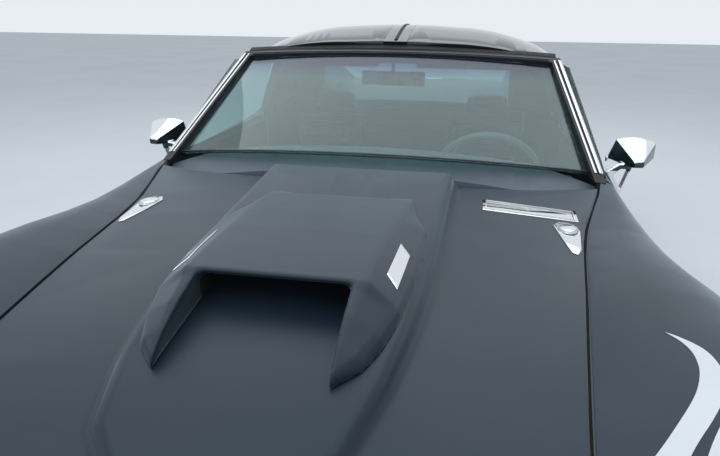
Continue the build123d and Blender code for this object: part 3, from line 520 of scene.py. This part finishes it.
def laid(name, rows):
    """A sheet of faces laid through rows of points, each row as long as the first."""
    pick_nothing()
    bpy.ops.mesh.primitive_grid_add(x_subdivisions=len(rows[0]) - 1, y_subdivisions=len(rows) - 1, size=1)
    piece = named(name)
    points = [point for row in rows for point in row]
    for vertex, point in zip(piece.data.vertices, points):
        vertex.co = point
    return piece


def closed_up(piece, distance=merge_distance):
    """Merges points that meet, and turns all faces outwards."""
    edit(piece)
    bpy.ops.mesh.remove_doubles(threshold=distance)
    bpy.ops.mesh.normals_make_consistent(inside=False)
    done()
    return piece


def ribbon(name, path, across, width, thickness):
    """A bar of even width along a path, thickened to both sides of its middle surface."""
    half = Vector(across).normalized() * width / 2
    piece = laid(name, [(Vector(p) - half, Vector(p) + half) for p in path])
    modify(piece, "SOLIDIFY", thickness=thickness, offset=0)
    closed_up(piece)
    return soften(piece, min(width, thickness) * bar_edge)


def press_on(piece, node, gap, thickness):
    """Presses a sheet onto a skin, a gap off it, and thickens it."""
    modify(piece, "SHRINKWRAP", target=skin[node], wrap_method="NEAREST_SURFACEPOINT",
           wrap_mode="ABOVE_SURFACE", offset=gap)
    modify(piece, "SOLIDIFY", thickness=thickness, offset=0)


def turned(name, profile, place, axis, steps=64):
    """A form turned about an axis. Profile columns: distance along the axis, radius."""
    axis = Vector(axis).normalized()
    side = axis.orthogonal().normalized()
    other = axis.cross(side)
    rows = []
    for i in range(steps + 1):
        angle = 2 * math.pi * (i % steps) / steps
        out = side * math.cos(angle) + other * math.sin(angle)
        rows.append([Vector(place) + axis * along + out * radius for along, radius in profile])
    return smooth(closed_up(laid(name, rows), fine_merge_distance), 35)


def both_sides(name, piece, material, body):
    """Dresses a piece on the driver's side and its mirror image on the other.

    A body whose name ends in _ is one of a pair, and each piece rides on its own side's.
    """
    twin = mirror_copy(piece, f"{name}_right")
    rename(piece, f"{name}_left")
    for one, side in ((piece, "left"), (twin, "right")):
        dress(one, material, body + side if body.endswith("_") else body)
    return piece, twin


# Windscreen surround. The glass's top and foot each by their corner on the driver's side and their middle

screen_top = (Vector((0.552, -0.038, 1.092)), Vector((0, -0.104, 1.118)))
screen_base = (Vector((0.640, -0.500, 0.822)), Vector((0, -0.655, 0.877)))
screen_out = Vector((0, -0.41, 0.912))


def screen_point(share, height, up=0.0, out=0.0):
    """A point on the windscreen: share across from -1 to 1, height from 0 at its foot to 1 at its top.

    The point is then moved along the glass by up and off the glass by out.
    """
    ends = []
    for corner, middle in (screen_base, screen_top):
        end = middle.lerp(corner, share * share)
        end.x = corner.x * share
        ends.append(end)
    rise = (ends[1] - ends[0]).normalized()
    return ends[0].lerp(ends[1], height) + rise * up + screen_out * out


shares = [i / 12 - 1 for i in range(25)]
header_reach, front_seal_reach = 0.985, 1.045  # how far bars run, as shares of the glass's width
ray_off = 0.1  # how far off the glass the rays start
screen_rise = (screen_top[1] - screen_base[1]).normalized()
# Columns: name, distance above the glass, width, how proud, thickness, finish
header_bars = [
    ("header_seal", 0.0045, 0.006, 0.0008, 0.004, rubber),
    ("header_mould", 0.0145, 0.0095, 0.0014, 0.005, grey_trim),
    ("header_groove", 0.0235, 0.005, 0.0004, 0.003, rubber),
]
for name, up, width, out, thickness, material in header_bars:
    path = []
    for share in shares:
        start = screen_point(share * header_reach, 1, up, ray_off)
        path.append(on_skin("windscreen_frame", start, -screen_out)[0] + screen_out * out)
    dress(ribbon(name, path, screen_rise, width, thickness), material, "root")
path = [screen_point(share, 0, 0.004, 0.003) for share in shares]
dress(ribbon("screen_foot_seal", path, screen_rise, 0.006, 0.004), grey_trim, "root")

pillar_side = Vector((0.89, 0.43, -0.153))
pillar_out = Vector((0.344, -0.418, 0.828))
pillar_along = Vector((-0.162, 0.852, 0.498))
pillar_foot = screen_base[0] - pillar_along * 0.018
pillar_head = screen_top[0] + pillar_along * 0.010
# Columns: name, distance outwards from the glass, width, how proud, thickness, finish, slot
pillar_bars = [
    ("pillar_outer_trim", 0.0250, 0.013, 0.0016, 0.005, chrome, "chrome_trim"),
    ("pillar_rubber", 0.0150, 0.004, 0.0010, 0.003, rubber, "cowl_black"),
    ("pillar_inner_trim", 0.0060, 0.008, 0.0014, 0.004, chrome, "chrome_trim"),
]
for name, across, width, out, thickness, material, slot in pillar_bars:
    path = []
    for i in range(9):
        start = pillar_foot.lerp(pillar_head, i / 8) + pillar_side * across + pillar_out * ray_off
        path.append(on_skin("windscreen_frame", start, -pillar_out)[0] + pillar_out * out)
    bar = ribbon(name, path, pillar_side, width, thickness)
    both_sides(name, bar, material, "root")

# Seals round the lift-off roof panels

def roof_point(node, x, y):
    """A point 1 mm above the roof."""
    return drop_on(node, x, y, 1.5)[0] + Vector((0, 0, 0.001))


def on_centre_bar(place, out):
    """Tells the faces of the roof's bar between the two panels."""
    return abs(place.x) < 0.06 and -0.06 < place.y < 0.46 and place.z > 1.10


paint_faces(skin["roof_frame"], gloss_black, on_centre_bar)
front_path = [screen_point(share * front_seal_reach, 1, 0.050, 0.004) for share in shares]
dress(ribbon("panel_front_seal", front_path, screen_rise, 0.030, 0.012), rubber, "root")
rear_path = [roof_point("roof_panels", 0.062 + 0.04 * i, 0.464) for i in range(12)]
both_sides("panel_rear_seal", ribbon("seal", rear_path, (0, 1, 0), 0.006, 0.003), rubber, "root")
middle_path = [roof_point("roof_frame", 0, -0.035 + 0.0615 * i) for i in range(9)]
dress(ribbon("panel_middle_seal", middle_path, (1, 0, 0), 0.011, 0.005), rubber, "root")
latch = block("catch", (-0.012, -0.064, 1.135), (0.012, -0.048, 1.141), 0.002)
dress(latch, chrome, "root")

# Door mirrors

def on_mirror_glass(place, out):
    """Tells the faces at the back of the mirror's shell."""
    return out.y > 0.95 and place.z > 0.80


def on_dark_side(place, out):
    """Tells the mirror shell's faces that get a darker chrome, a painted reflection of the dark ground and the
    car.
    """
    return place.z > 0.79 and (out.z < 0.1 or abs(out.x) > 0.8) and out.y < 0.3


for side in sides:
    shell = remeshed(f"mirror_shell_{side}", f"mirror_{side}", 0.0022, 18)
    edit(shell, on_mirror_glass)
    bpy.ops.mesh.inset(thickness=0.006)
    bpy.ops.mesh.extrude_region_move(TRANSFORM_OT_translate={"value": (0, -0.006, 0)})
    done()
    dress(shell, chrome, f"door_{side}")
    paint_faces(shell, chrome_painted_dark_reflection, on_dark_side)
    paint_faces(shell, mirror_glass, on_mirror_glass)
    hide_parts(f"mirror_{side}")

# Plates on the hood

reskin("plates", "hood_plates", chrome, 30, 0.0008)
# Columns: distance along the axis, radius
boss_profile = [(0.0015, 0.0), (0.0085, 0.0), (0.0082, 0.016), (0.0062, 0.0225), (0.0015, 0.0235)]
ring_profile = [(0.002, 0.023), (0.0052, 0.0235), (0.0052, 0.0275), (0.002, 0.029)]
boss_place = drop_on("hood_panel", 0.530, -0.922)[0]
boss = turned("boss", boss_profile, (0, 0, 0), (0, 0, 1), 40)
ring = turned("boss_ring", ring_profile, (0, 0, 0), (0, 0, 1), 40)
for piece, name, material in ((boss, "latch_boss", chrome), (ring, "latch_ring", dull_chrome)):
    edit(piece)
    bpy.ops.transform.resize(value=(0.86, 1.20, 1), center_override=(0, 0, 0))
    bpy.ops.transform.translate(value=tuple(boss_place))
    done()
    both_sides(name, piece, material, "hood")
rim_path = [(0.341, -0.807), (0.341, -0.862), (0.556, -0.857), (0.556, -0.806), (0.341, -0.807)]
rim_bars = []
for ends in zip(rim_path, rim_path[1:]):
    start, end = (drop_on("hood_panel", x, y)[0] + Vector((0, 0, 0.003)) for x, y in ends)
    rim_bars.append(strip("rim", start, end, 0.0035, 0.0022, (0, 0, 1)))
dress(joined("name_plate_rim", rim_bars), dull_chrome, "hood")

badge_out = Vector((0.40, -0.02, 0.91))
badge_ends = [
    [(0.178, -1.298, 0.859), (0.199, -1.329, 0.848)],
    [(0.172, -1.440, 0.857), (0.192, -1.460, 0.840)],
]
back, front = ([Vector(corner) + badge_out * 0.0015 for corner in end] for end in badge_ends)
badge = laid("badge", [back, [(a + b) / 2 for a, b in zip(back, front)], front])
modify(badge, "SUBSURF", subdivision_type="SIMPLE", levels=3, render_levels=3)
press_on(badge, "hood_scoop", 0.0012, 0.0025)
closed_up(badge)
soften(badge, 0.0008)
both_sides("scoop_badge", badge, chrome, "hood")

# White stripes on each front wing. Columns: inner x, y, outer x, y
stripe_rows = [
    (0.6150, -1.4230, 0.6155, -1.4232),
    (0.6240, -1.4410, 0.6290, -1.4385),
    (0.6313, -1.4575, 0.6402, -1.4528),
    (0.6378, -1.4841, 0.6583, -1.4763),
    (0.6351, -1.5179, 0.6644, -1.5109),
    (0.6307, -1.5388, 0.6626, -1.5462),
    (0.6189, -1.5710, 0.6525, -1.5776),
    (0.6040, -1.5972, 0.6345, -1.6075),
    (0.5838, -1.6267, 0.6145, -1.6393),
    (0.5640, -1.6556, 0.5955, -1.6634),
    (0.5416, -1.6848, 0.5794, -1.6871),
    (0.520, -1.712, 0.566, -1.711),
    (0.502, -1.742, 0.552, -1.739),
    (0.490, -1.775, 0.535, -1.772),
    (0.482, -1.808, 0.512, -1.806),
    (0.477, -1.840, 0.492, -1.839),
    (0.472, -1.868, 0.474, -1.868),
]
outer_stripe_rows = [
    (0.6420, -1.6130, 0.6425, -1.6135),
    (0.6298, -1.6338, 0.6420, -1.6300),
    (0.6106, -1.6644, 0.6430, -1.6600),
    (0.5974, -1.6883, 0.6380, -1.6880),
    (0.585, -1.715, 0.628, -1.718),
    (0.572, -1.748, 0.612, -1.752),
    (0.560, -1.785, 0.592, -1.788),
    (0.550, -1.822, 0.570, -1.824),
    (0.545, -1.860, 0.547, -1.860),
]


def stripe(name, rows):
    """A thin painted shape laid on the wing."""
    points = []
    for ax, ay, bx, by in rows:
        row = []
        for share in (0, 0.5, 1):
            x, y = ax + (bx - ax) * share, ay + (by - ay) * share
            row.append(drop_on("fender_left", x, y)[0])
        points.append(row)
    piece = laid(name, points)
    modify(piece, "SUBSURF", levels=2, render_levels=2, boundary_smooth="PRESERVE_CORNERS")
    press_on(piece, "fender_left", 0.0006, 0.0010)
    return smooth(closed_up(piece, 0.000002), 40)


both_sides("wing_stripe", stripe("stripe", stripe_rows), white_paint, "root")
both_sides("wing_stripe_outer", stripe("stripe", outer_stripe_rows), white_paint, "root")

# A dark strip under the gap between hood and wings: painted shade in the gap. Columns: y, x and z of the gap's
# middle
gutter_rows = [
    (-1.870, 0.452, 0.692), (-1.640, 0.476, 0.722), (-1.282, 0.523, 0.744),
    (-0.900, 0.577, 0.752), (-0.620, 0.640, 0.776),
]
gutter = ribbon("gutter", [(x + 0.004, y, z) for y, x, z in gutter_rows], (1, 0, 0), 0.046, 0.003)
both_sides("hood_gutter", gutter, rubber, "root")

# Wheels. Columns: end of the car, half track, y, half width
wheel_places = [("front", 0.738, -1.282, 0.1125), ("rear", 0.736, 1.207, 0.1225)]
axle_height = 0.340
tyre_steps = 132
notch_every, notch_depth, notch_reach, notch_from = 3, 0.0045, 0.045, 0.32
groove_shares = (-0.42, -0.14, 0.14, 0.42)
# Columns of the profiles: distance along the axle, radius
tyre_wall = [
    (0.018, 0.191), (0.006, 0.214), (0.0008, 0.246), (0.0, 0.270), (0.0035, 0.274), (0.0055, 0.300),
    (0.014, 0.322), (0.026, 0.3365), (0.034, 0.3392),
]
groove = [(-0.0055, 0.340), (-0.0042, 0.3335), (0.0042, 0.3335), (0.0055, 0.340)]
trim_ring = [
    (-0.010, 0.1885), (0.002, 0.1915), (0.005, 0.187), (0.002, 0.178),
    (-0.012, 0.166), (-0.020, 0.163), (-0.022, 0.166), (-0.012, 0.172),
]
centre_cap = [
    (-0.034, 0.052), (-0.026, 0.050), (-0.022, 0.044), (-0.006, 0.041), (-0.002, 0.034),
    (0.0, 0.014), (0.0, 0.0),
]
nut_circle = 0.062


def tyre_profile(half):
    """The section of a tyre, from the inner bead over the tread to the outer one."""
    inner = [(-half + d, r) for d, r in tyre_wall]
    grooves = [(share * (half - 0.03) * 1.6 + d, r) for share in groove_shares for d, r in groove]
    return inner + grooves + [(-d, r) for d, r in reversed(inner)]


def tyre_skin(name, centre, sign, half):
    """A tyre with grooves round its tread and notches across both shoulders."""
    rows = []
    for i in range(tyre_steps + 1):
        angle = 2 * math.pi * (i % tyre_steps) / tyre_steps
        row = []
        for along, radius in tyre_profile(half):
            if i % notch_every == 0 and radius > notch_from and abs(along) > half - notch_reach:
                radius -= notch_depth
            row.append(centre + Vector((sign * along, radius * math.cos(angle), radius * math.sin(angle))))
        rows.append(row)
    return smooth(closed_up(laid(name, rows), fine_merge_distance), 30)


for end, track, y, half in wheel_places:
    for side, sign in sides.items():
        centre = Vector((sign * track, y, axle_height))
        body, axis = f"wheel_{end}_{side}", (sign, 0, 0)
        tyre = tyre_skin(f"tyre_skin_{end}_{side}", centre, sign, half)
        dress(tyre, tyre_rubber, body)
        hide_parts(f"tyre_{end}_{side}")
        face = half - 0.016
        for name, profile, steps in (("trim_ring", trim_ring, 72), ("centre_cap", centre_cap, 48)):
            placed_profile = [(face + d, r) for d, r in profile]
            piece = turned(f"{name}_{end}_{side}", placed_profile, centre, axis, steps)
            dress(piece, chrome, body)
        nuts = []
        for i in range(5):
            angle = math.radians(72 * i + 36)
            out = (sign * (face - 0.027), nut_circle * math.cos(angle), nut_circle * math.sin(angle))
            nuts.append(disc("nut", centre + Vector(out), axis, 0.0095, 0.018, 6, 0.0015))
        dress(joined(f"wheel_nuts_{end}_{side}", nuts), dull_chrome, body)

# Lamps

rear_lenses = cast("rear_lenses", "lamps", 30, keep=lambda c, n: c.y > 0)
dress(rear_lenses, red_lens, "root")
front_lenses = cast("front_turn_lenses", "lamps", 30, 0.002, keep=lambda c, n: c.y < 0)
dress(front_lenses, amber_lens, "root")
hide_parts("lamps")
# Columns of the profiles: distance along the axis, radius
bezel = [
    (-0.012, 0.0525), (0.004, 0.0535), (0.0065, 0.0565), (0.0055, 0.0605),
    (0.0, 0.0625), (-0.003, 0.0605), (-0.003, 0.0535),
]
ribs = [(-0.002 + 0.0022 * (i % 2), 0.048 - 0.0045 * i) for i in range(10)]
ribbed_lens = [(-0.0035, 0.051)] + ribs + [(0.002, 0.0)]
for x, name in ((0.322, "inner"), (0.502, "outer")):
    centre, backwards = (x, 2.352, 0.505), (0, 1, 0)
    ring = turned("ring", bezel, centre, backwards)
    both_sides(f"rear_lamp_ring_{name}", ring, chrome, "root")
    lens = turned("lens", ribbed_lens, centre, backwards, 48)
    both_sides(f"rear_lamp_lens_{name}", lens, red_lens, "root")
lamp_face = Vector((0, -0.7071, -0.7071))
head_ring = [(-0.004, 0.0385), (0.001, 0.040), (0.0025, 0.0425), (0.0, 0.0436), (-0.0045, 0.0436)]
head_glass = [(-0.0035, 0.0395), (-0.0015, 0.034), (0.0005, 0.024), (0.0015, 0.012), (0.002, 0.0)]
for x, name in ((0.452, "inner"), (0.536, "outer")):
    centre = Vector((x, -2.0223, 0.6147))
    ring = turned("ring", head_ring, centre, lamp_face)
    both_sides(f"headlamp_ring_{name}", ring, chrome, "lamp_pod_")
    lens = turned("lens", head_glass, centre, lamp_face)
    both_sides(f"headlamp_glass_{name}", lens, clear_lens, "lamp_pod_")

# Side marker lamps. Columns: name, panel, y, z, finish
for name, panel, y, z, material in (
    ("front_marker", "fender_left", -1.79, 0.50, amber_lens),
    ("rear_marker", "rear_body", 2.02, 0.55, red_lens),
):
    ends = [on_skin(panel, (1.4, y + d, z), (-1, 0, 0))[0] for d in (-0.055, 0.055)]
    both_sides(name, strip("marker", ends[0], ends[1], 0.030, 0.008, (1, 0, 0)), material, "root")

# Rear plate, fuel lid, tail pipes and door handles

plate = block("rear_plate_blank", (-0.1525, 2.3382, 0.401), (0.1525, 2.3405, 0.551), 0.001)
edit(plate, lambda c, n: n.y > 0.9)
bpy.ops.mesh.inset(thickness=0.006)
bpy.ops.mesh.extrude_region_move(TRANSFORM_OT_translate={"value": (0, -0.0008, 0)})
done()
dress(plate, plate_paint, "root")
screws = [disc("screw", (x, 2.3415, 0.530), (0, 1, 0), 0.0065, 0.003, 6, 0.0008) for x in (-0.0889, 0.0889)]
dress(joined("plate_screws", screws), dull_chrome, "root")
lid_profile = [
    (-0.002, 0.078), (0.0035, 0.077), (0.0045, 0.072), (0.0035, 0.068),
    (0.0025, 0.066), (0.0045, 0.060), (0.006, 0.030), (0.0065, 0.0),
]
lid_place, lid_normal = drop_on("rear_body", 0, 1.80, 1.4)
dress(turned("fuel_lid", lid_profile, lid_place, lid_normal), chrome, "root")
pipe = [(-0.070, 0.0325), (0.002, 0.0345), (0.004, 0.0330), (0.002, 0.0300), (-0.030, 0.0285), (-0.032, 0.0)]
both_sides("tail_pipe", turned("pipe", pipe, (0.330, 2.280, 0.220), (0, 1, 0)), chrome, "root")
# Columns: name, y of its front and back end, width, height
for name, front_y, back_y, width, height in (
    ("door_handle_plate", 0.350, 0.452, 0.040, 0.003),
    ("door_handle_flap", 0.362, 0.425, 0.026, 0.009),
):
    (start, out), (end, _) = (drop_on("door_left", 0.786, y) for y in (front_y, back_y))
    both_sides(name, strip(name, start, end, width, height, out), chrome, "door_")

# Cabin

reskin("dash_skin", "dash", vinyl, 30, 0.010, 3)
reskin("column_skin", "steering_column", vinyl, 30, 0.001)
# Columns of the profiles: distance along the axis, radius
gauge = [(-0.02, 0.072), (0.026, 0.071), (0.031, 0.068), (0.030, 0.063), (0.008, 0.060), (0.007, 0.0)]
small_gauge = [
    (-0.01, 0.032), (0.012, 0.0315), (0.015, 0.029), (0.013, 0.027), (0.005, 0.026), (0.0045, 0.0),
]
# Columns: x, y, z, profile, needle length
dials = [(x, -0.405, 0.722, gauge, 0.045) for x in (0.278, 0.428)]
dials += [(x, -0.402, 0.588, small_gauge, 0.018) for x in (-0.072, 0.0, 0.072)]
cups, needles = [], []
for x, y, z, profile, length in dials:
    cups.append(turned("cup", profile, (x, y, z), (0, 1, 0), 40))
    face = y + (profile[-1][0] + 0.0015)
    start = (x - length * 0.3, face, z - length * 0.3)
    end = (x + length * 0.6, face, z + length * 0.7)
    needles.append(strip("needle", start, end, 0.0022, 0.001, (0, 1, 0)))
dress(joined("gauges", cups), gauge_black, "root")
dress(joined("gauge_needles", needles), red_lens, "root")
radio = block("radio", (-0.088, -0.406, 0.505), (0.088, -0.392, 0.548), 0.002)
knobs = [disc("knob", (x, -0.386, 0.527), (0, 1, 0), 0.009, 0.016, 20) for x in (-0.070, 0.070)]
dress(joined("radio", [radio] + knobs), gauge_black, "root")

wheel_tilt = math.radians(25)
wheel_axis = Vector((0, math.cos(wheel_tilt), math.sin(wheel_tilt)))
wheel_centre = Vector((0.353, -0.222, 0.722))
grip = hoop("steering_rim", wheel_centre, wheel_axis, 0.173, 0.0135, 96)
dress(grip, rim_grey, "steering_wheel")
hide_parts("steering_wheel")
wheel_up = Vector((0, -math.sin(wheel_tilt), math.cos(wheel_tilt)))
spokes = []
for outward in (Vector((1, 0, 0)), Vector((-1, 0, 0)), -wheel_up):
    start = wheel_centre + outward * 0.020 - wheel_axis * 0.010
    end = wheel_centre + outward * 0.166 - wheel_axis * 0.002
    spokes.append(strip("spoke", start, end, 0.028, 0.004, wheel_axis))
dress(joined("steering_spokes", spokes), dull_chrome, "steering_wheel")
pad = [(-0.034, 0.030), (-0.014, 0.036), (0.004, 0.040), (0.012, 0.034), (0.015, 0.018), (0.0155, 0.0)]
dress(turned("horn_pad", pad, wheel_centre, wheel_axis, 40), vinyl, "steering_wheel")

shift_foot, shift_axis = (0, -0.10, 0.499), (0, 0.1, 1)
boot = [(0.0, 0.052), (0.008, 0.050), (0.014, 0.040), (0.026, 0.034), (0.036, 0.024), (0.052, 0.013)]
dress(turned("shift_boot", boot, shift_foot, shift_axis, 32), leather, "root")
lever = [
    (0.04, 0.006), (0.13, 0.0055), (0.135, 0.012), (0.145, 0.019), (0.160, 0.021), (0.174, 0.016), (0.180, 0.0),
]
dress(turned("shift_lever", lever, shift_foot, shift_axis, 32), gauge_black, "root")
brake_lever = strip("brake_lever", (0.055, 0.06, 0.515), (0.055, 0.30, 0.535), 0.022, 0.020, (0, 0, 1))
dress(brake_lever, chrome, "root")
armrest = block("console_lid", (-0.10, 0.20, 0.4985), (0.028, 0.42, 0.520), 0.008, 3)
dress(armrest, leather, "root")
mats = block("mat", (0.158, -0.60, 0.2465), (0.545, 0.02, 0.256), 0.003)
both_sides("floor_mat", mats, carpet, "root")
pedals = []
for x, width in ((0.250, 0.055), (0.340, 0.065), (0.430, 0.045)):
    pedals.append(strip("pad", (x, -0.585, 0.300), (x, -0.600, 0.375), width, 0.010, (0, 1, 0.2)))
    pedals.append(strip("arm", (x, -0.600, 0.370), (x, -0.640, 0.560), 0.014, 0.010, (0, 1, 0.2)))
dress(joined("pedals", pedals), black_trim, "root")
card = block("card", (0.6845, -0.37, 0.43), (0.6895, 0.50, 0.765), 0.002)
rest = block("rest", (0.650, -0.02, 0.560), (0.6845, 0.36, 0.600), 0.010, 3)
pull = strip("pull", (0.676, 0.02, 0.665), (0.676, 0.20, 0.665), 0.022, 0.012, (1, 0, 0))
both_sides("door_card", joined("card", [card, rest, pull]), vinyl, "door_")
visor = block("visor", (0.075, -0.015, 1.066), (0.455, 0.105, 1.078), 0.005, 3)
both_sides("sun_visor", visor, vinyl, "root")
inside_mirror = block("inside_mirror", (-0.115, -0.082, 1.008), (0.115, -0.066, 1.058), 0.006, 3)
stem = strip("stem", (0, -0.078, 1.05), (0, -0.088, 1.098), 0.012, 0.008, (0, 1, 0))
dress(joined("inside_mirror", [inside_mirror, stem]), gauge_black, "root")
pane = block("inside_mirror_pane", (-0.108, -0.0665, 1.013), (0.108, -0.0645, 1.053), 0.001)
dress(pane, mirror_glass, "root")


# Seats

seat_x = 0.353
seat_lean, back_lean = 6.5, -12.0
swell_pressure, swell_steps = 4.0, 20
channel_depth, channel_width, channel_reach = 0.006, 0.006, 0.105


def swollen(piece, cap):
    """Remeshes a slightly small form and blows it up as stuffed cloth, no point moving beyond the cap."""
    modify(piece, "REMESH", mode="VOXEL", voxel_size=0.006)
    before = [point.co.copy() for point in piece.data.vertices]
    pick(piece)
    cloth = piece.modifiers.new("Cloth", "CLOTH")
    cloth.settings.use_pressure = True
    cloth.settings.uniform_pressure_force = swell_pressure
    cloth.settings.effector_weights.gravity = 0
    scene = bpy.context.scene
    for step in range(swell_steps):
        scene.frame_set(step + 1)
    bpy.ops.object.modifier_apply(modifier=cloth.name)
    scene.frame_set(1)
    for point, start in zip(piece.data.vertices, before):
        moved = point.co - start
        if moved.length > cap:
            point.co = start + moved.normalized() * cap
    modify(piece, "SUBSURF", levels=1, render_levels=1)
    return piece


def channelled(piece, lines, direction, inside):
    """Presses sewn lines into a pad, square to a direction, where a test of place and normal holds."""
    direction = Vector(direction)
    shifts = []
    for point in piece.data.vertices:
        distance = point.co.dot(direction)
        press = sum(math.exp(-(((distance - line) / channel_width) ** 2)) for line in lines)
        pressed = press > 0.01 and inside(point.co, point.normal)
        shifts.append(point.normal * -channel_depth * press if pressed else None)
    for point, shift in zip(piece.data.vertices, shifts):
        if shift:
            point.co += shift
    return smooth(piece, 70)


def cushion(name, low, high, lean, centre):
    """A rounded box that leans about a centre."""
    piece = block(name, low, high, 0.028, 3)
    edit(piece)
    bpy.ops.transform.rotate(value=math.radians(lean), orient_axis="X", center_override=centre)
    done()
    return piece


seat_form = cushion("seat_pad", (0.196, 0.060, 0.285), (0.510, 0.440, 0.358), seat_lean, (seat_x, 0.24, 0.32))
seat_pad = swollen(seat_form, 0.016)
channelled(seat_pad, [0.12 + 0.048 * i for i in range(6)], (0, 1, 0),
           lambda c, n: n.z > 0.5 and abs(c.x - seat_x) < channel_reach)
back_form = cushion("back_pad", (0.200, 0.475, 0.330), (0.506, 0.560, 0.800), back_lean, (seat_x, 0.52, 0.35))
back_pad = swollen(back_form, 0.016)
channelled(back_pad, [0.40 + 0.052 * i for i in range(7)], (0, 0, 1),
           lambda c, n: n.y < -0.5 and abs(c.x - seat_x) < channel_reach)
head_form = cushion("head_pad", (0.262, 0.555, 0.815), (0.444, 0.615, 0.905), back_lean, (seat_x, 0.585, 0.86))
head_pad = swollen(head_form, 0.010)
smooth(head_pad, 70)
shell = cushion("shell", (0.192, 0.555, 0.300), (0.514, 0.585, 0.815), back_lean, (seat_x, 0.52, 0.35))
base = block("base", (0.190, 0.045, 0.2465), (0.516, 0.520, 0.292), 0.008, 3)
# Columns: name, piece, finish, slot, fill of a padded piece
for name, piece, material, slot, fill in (
    ("seat_pad", seat_pad, leather, "seat_leather", 0.8),
    ("seat_back", back_pad, leather, "seat_leather", 0.8),
    ("head_rest", head_pad, leather, "seat_leather", 0.8),
    ("seat_shell", joined("shell", [shell, base]), vinyl, "trim_vinyl", None),
):
    pair = both_sides(name, piece, material, "root")
    if name == "seat_back":
        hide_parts("seats")

# Camera, light and floor

def set_camera():
    """Puts the camera where the photograph was taken."""
    yaw, pitch, roll = -0.1772, 0.335, 0.0108
    ahead = Vector((math.sin(yaw) * math.cos(pitch), math.cos(yaw) * math.cos(pitch), -math.sin(pitch)))
    right = Vector((math.cos(yaw), -math.sin(yaw), 0))
    up = right.cross(ahead)
    tilted_right = right * math.cos(roll) + up * math.sin(roll)
    tilted_up = up * math.cos(roll) - right * math.sin(roll)
    camera = bpy.data.objects.new("camera", bpy.data.cameras.new("camera"))
    camera.data.lens = 31.0
    camera.data.sensor_width = 36.0
    camera.data.clip_start = 0.02
    turn = Matrix((tilted_right, tilted_up, -ahead)).transposed().to_4x4()
    camera.matrix_world = Matrix.Translation((0.2929, -2.3643, 1.2618)) @ turn
    bpy.context.scene.collection.objects.link(camera)
    bpy.context.scene.camera = camera


def set_lamp(name, place, target, size, power):
    """An area lamp at a place, shining at a target."""
    lamp = bpy.data.objects.new(name, bpy.data.lights.new(name, "AREA"))
    lamp.data.shape = "RECTANGLE"
    lamp.data.size, lamp.data.size_y = size
    lamp.data.energy = power
    lamp.data.color = (0.90, 0.95, 1.0)
    lamp.location = place
    lamp.rotation_euler = turn_to(Vector(place) - Vector(target))
    bpy.context.scene.collection.objects.link(lamp)


def set_world():
    """Bluish light from all sides, with a paler sky for what is seen, mirrored or seen through glass."""
    world = bpy.data.worlds.new("studio")
    bpy.context.scene.world = world
    world.use_nodes = True
    tree = world.node_tree
    light = tree.nodes["Background"]
    light.inputs["Color"].default_value = (0.82, 0.90, 1.0, 1)
    light.inputs["Strength"].default_value = 0.62
    pale = tree.nodes.new("ShaderNodeBackground")
    pale.inputs["Color"].default_value = (0.80, 0.85, 0.90, 1)
    pale.inputs["Strength"].default_value = 1.0
    path = tree.nodes.new("ShaderNodeLightPath")
    mix = tree.nodes.new("ShaderNodeMixShader")
    link = tree.links.new
    seen = path.outputs["Is Camera Ray"]
    for ray in ("Is Glossy Ray", "Is Transmission Ray"):
        either = tree.nodes.new("ShaderNodeMath")
        either.operation = "MAXIMUM"
        link(seen, either.inputs[0])
        link(path.outputs[ray], either.inputs[1])
        seen = either.outputs[0]
    link(seen, mix.inputs[0])
    link(light.outputs[0], mix.inputs[1])
    link(pale.outputs[0], mix.inputs[2])
    link(mix.outputs[0], tree.nodes["World Output"].inputs["Surface"])


set_camera()
set_world()
set_lamp("overhead", (0, 0.2, 5.0), (0, 0.1, 0.5), (8, 9), 190)
set_lamp("front", (-2.0, -5.5, 5.5), (0, -0.5, 0.6), (4, 3), 30)
pick_nothing()
bpy.ops.mesh.primitive_plane_add(size=60)
floor = named("floor")
floor.data.materials.append(finish("floor", (0.72, 0.73, 0.74), (0.77, 0.78, 0.79), (0.85, 0.95), 0.7))
bpy.context.scene.view_settings.view_transform = "Standard"
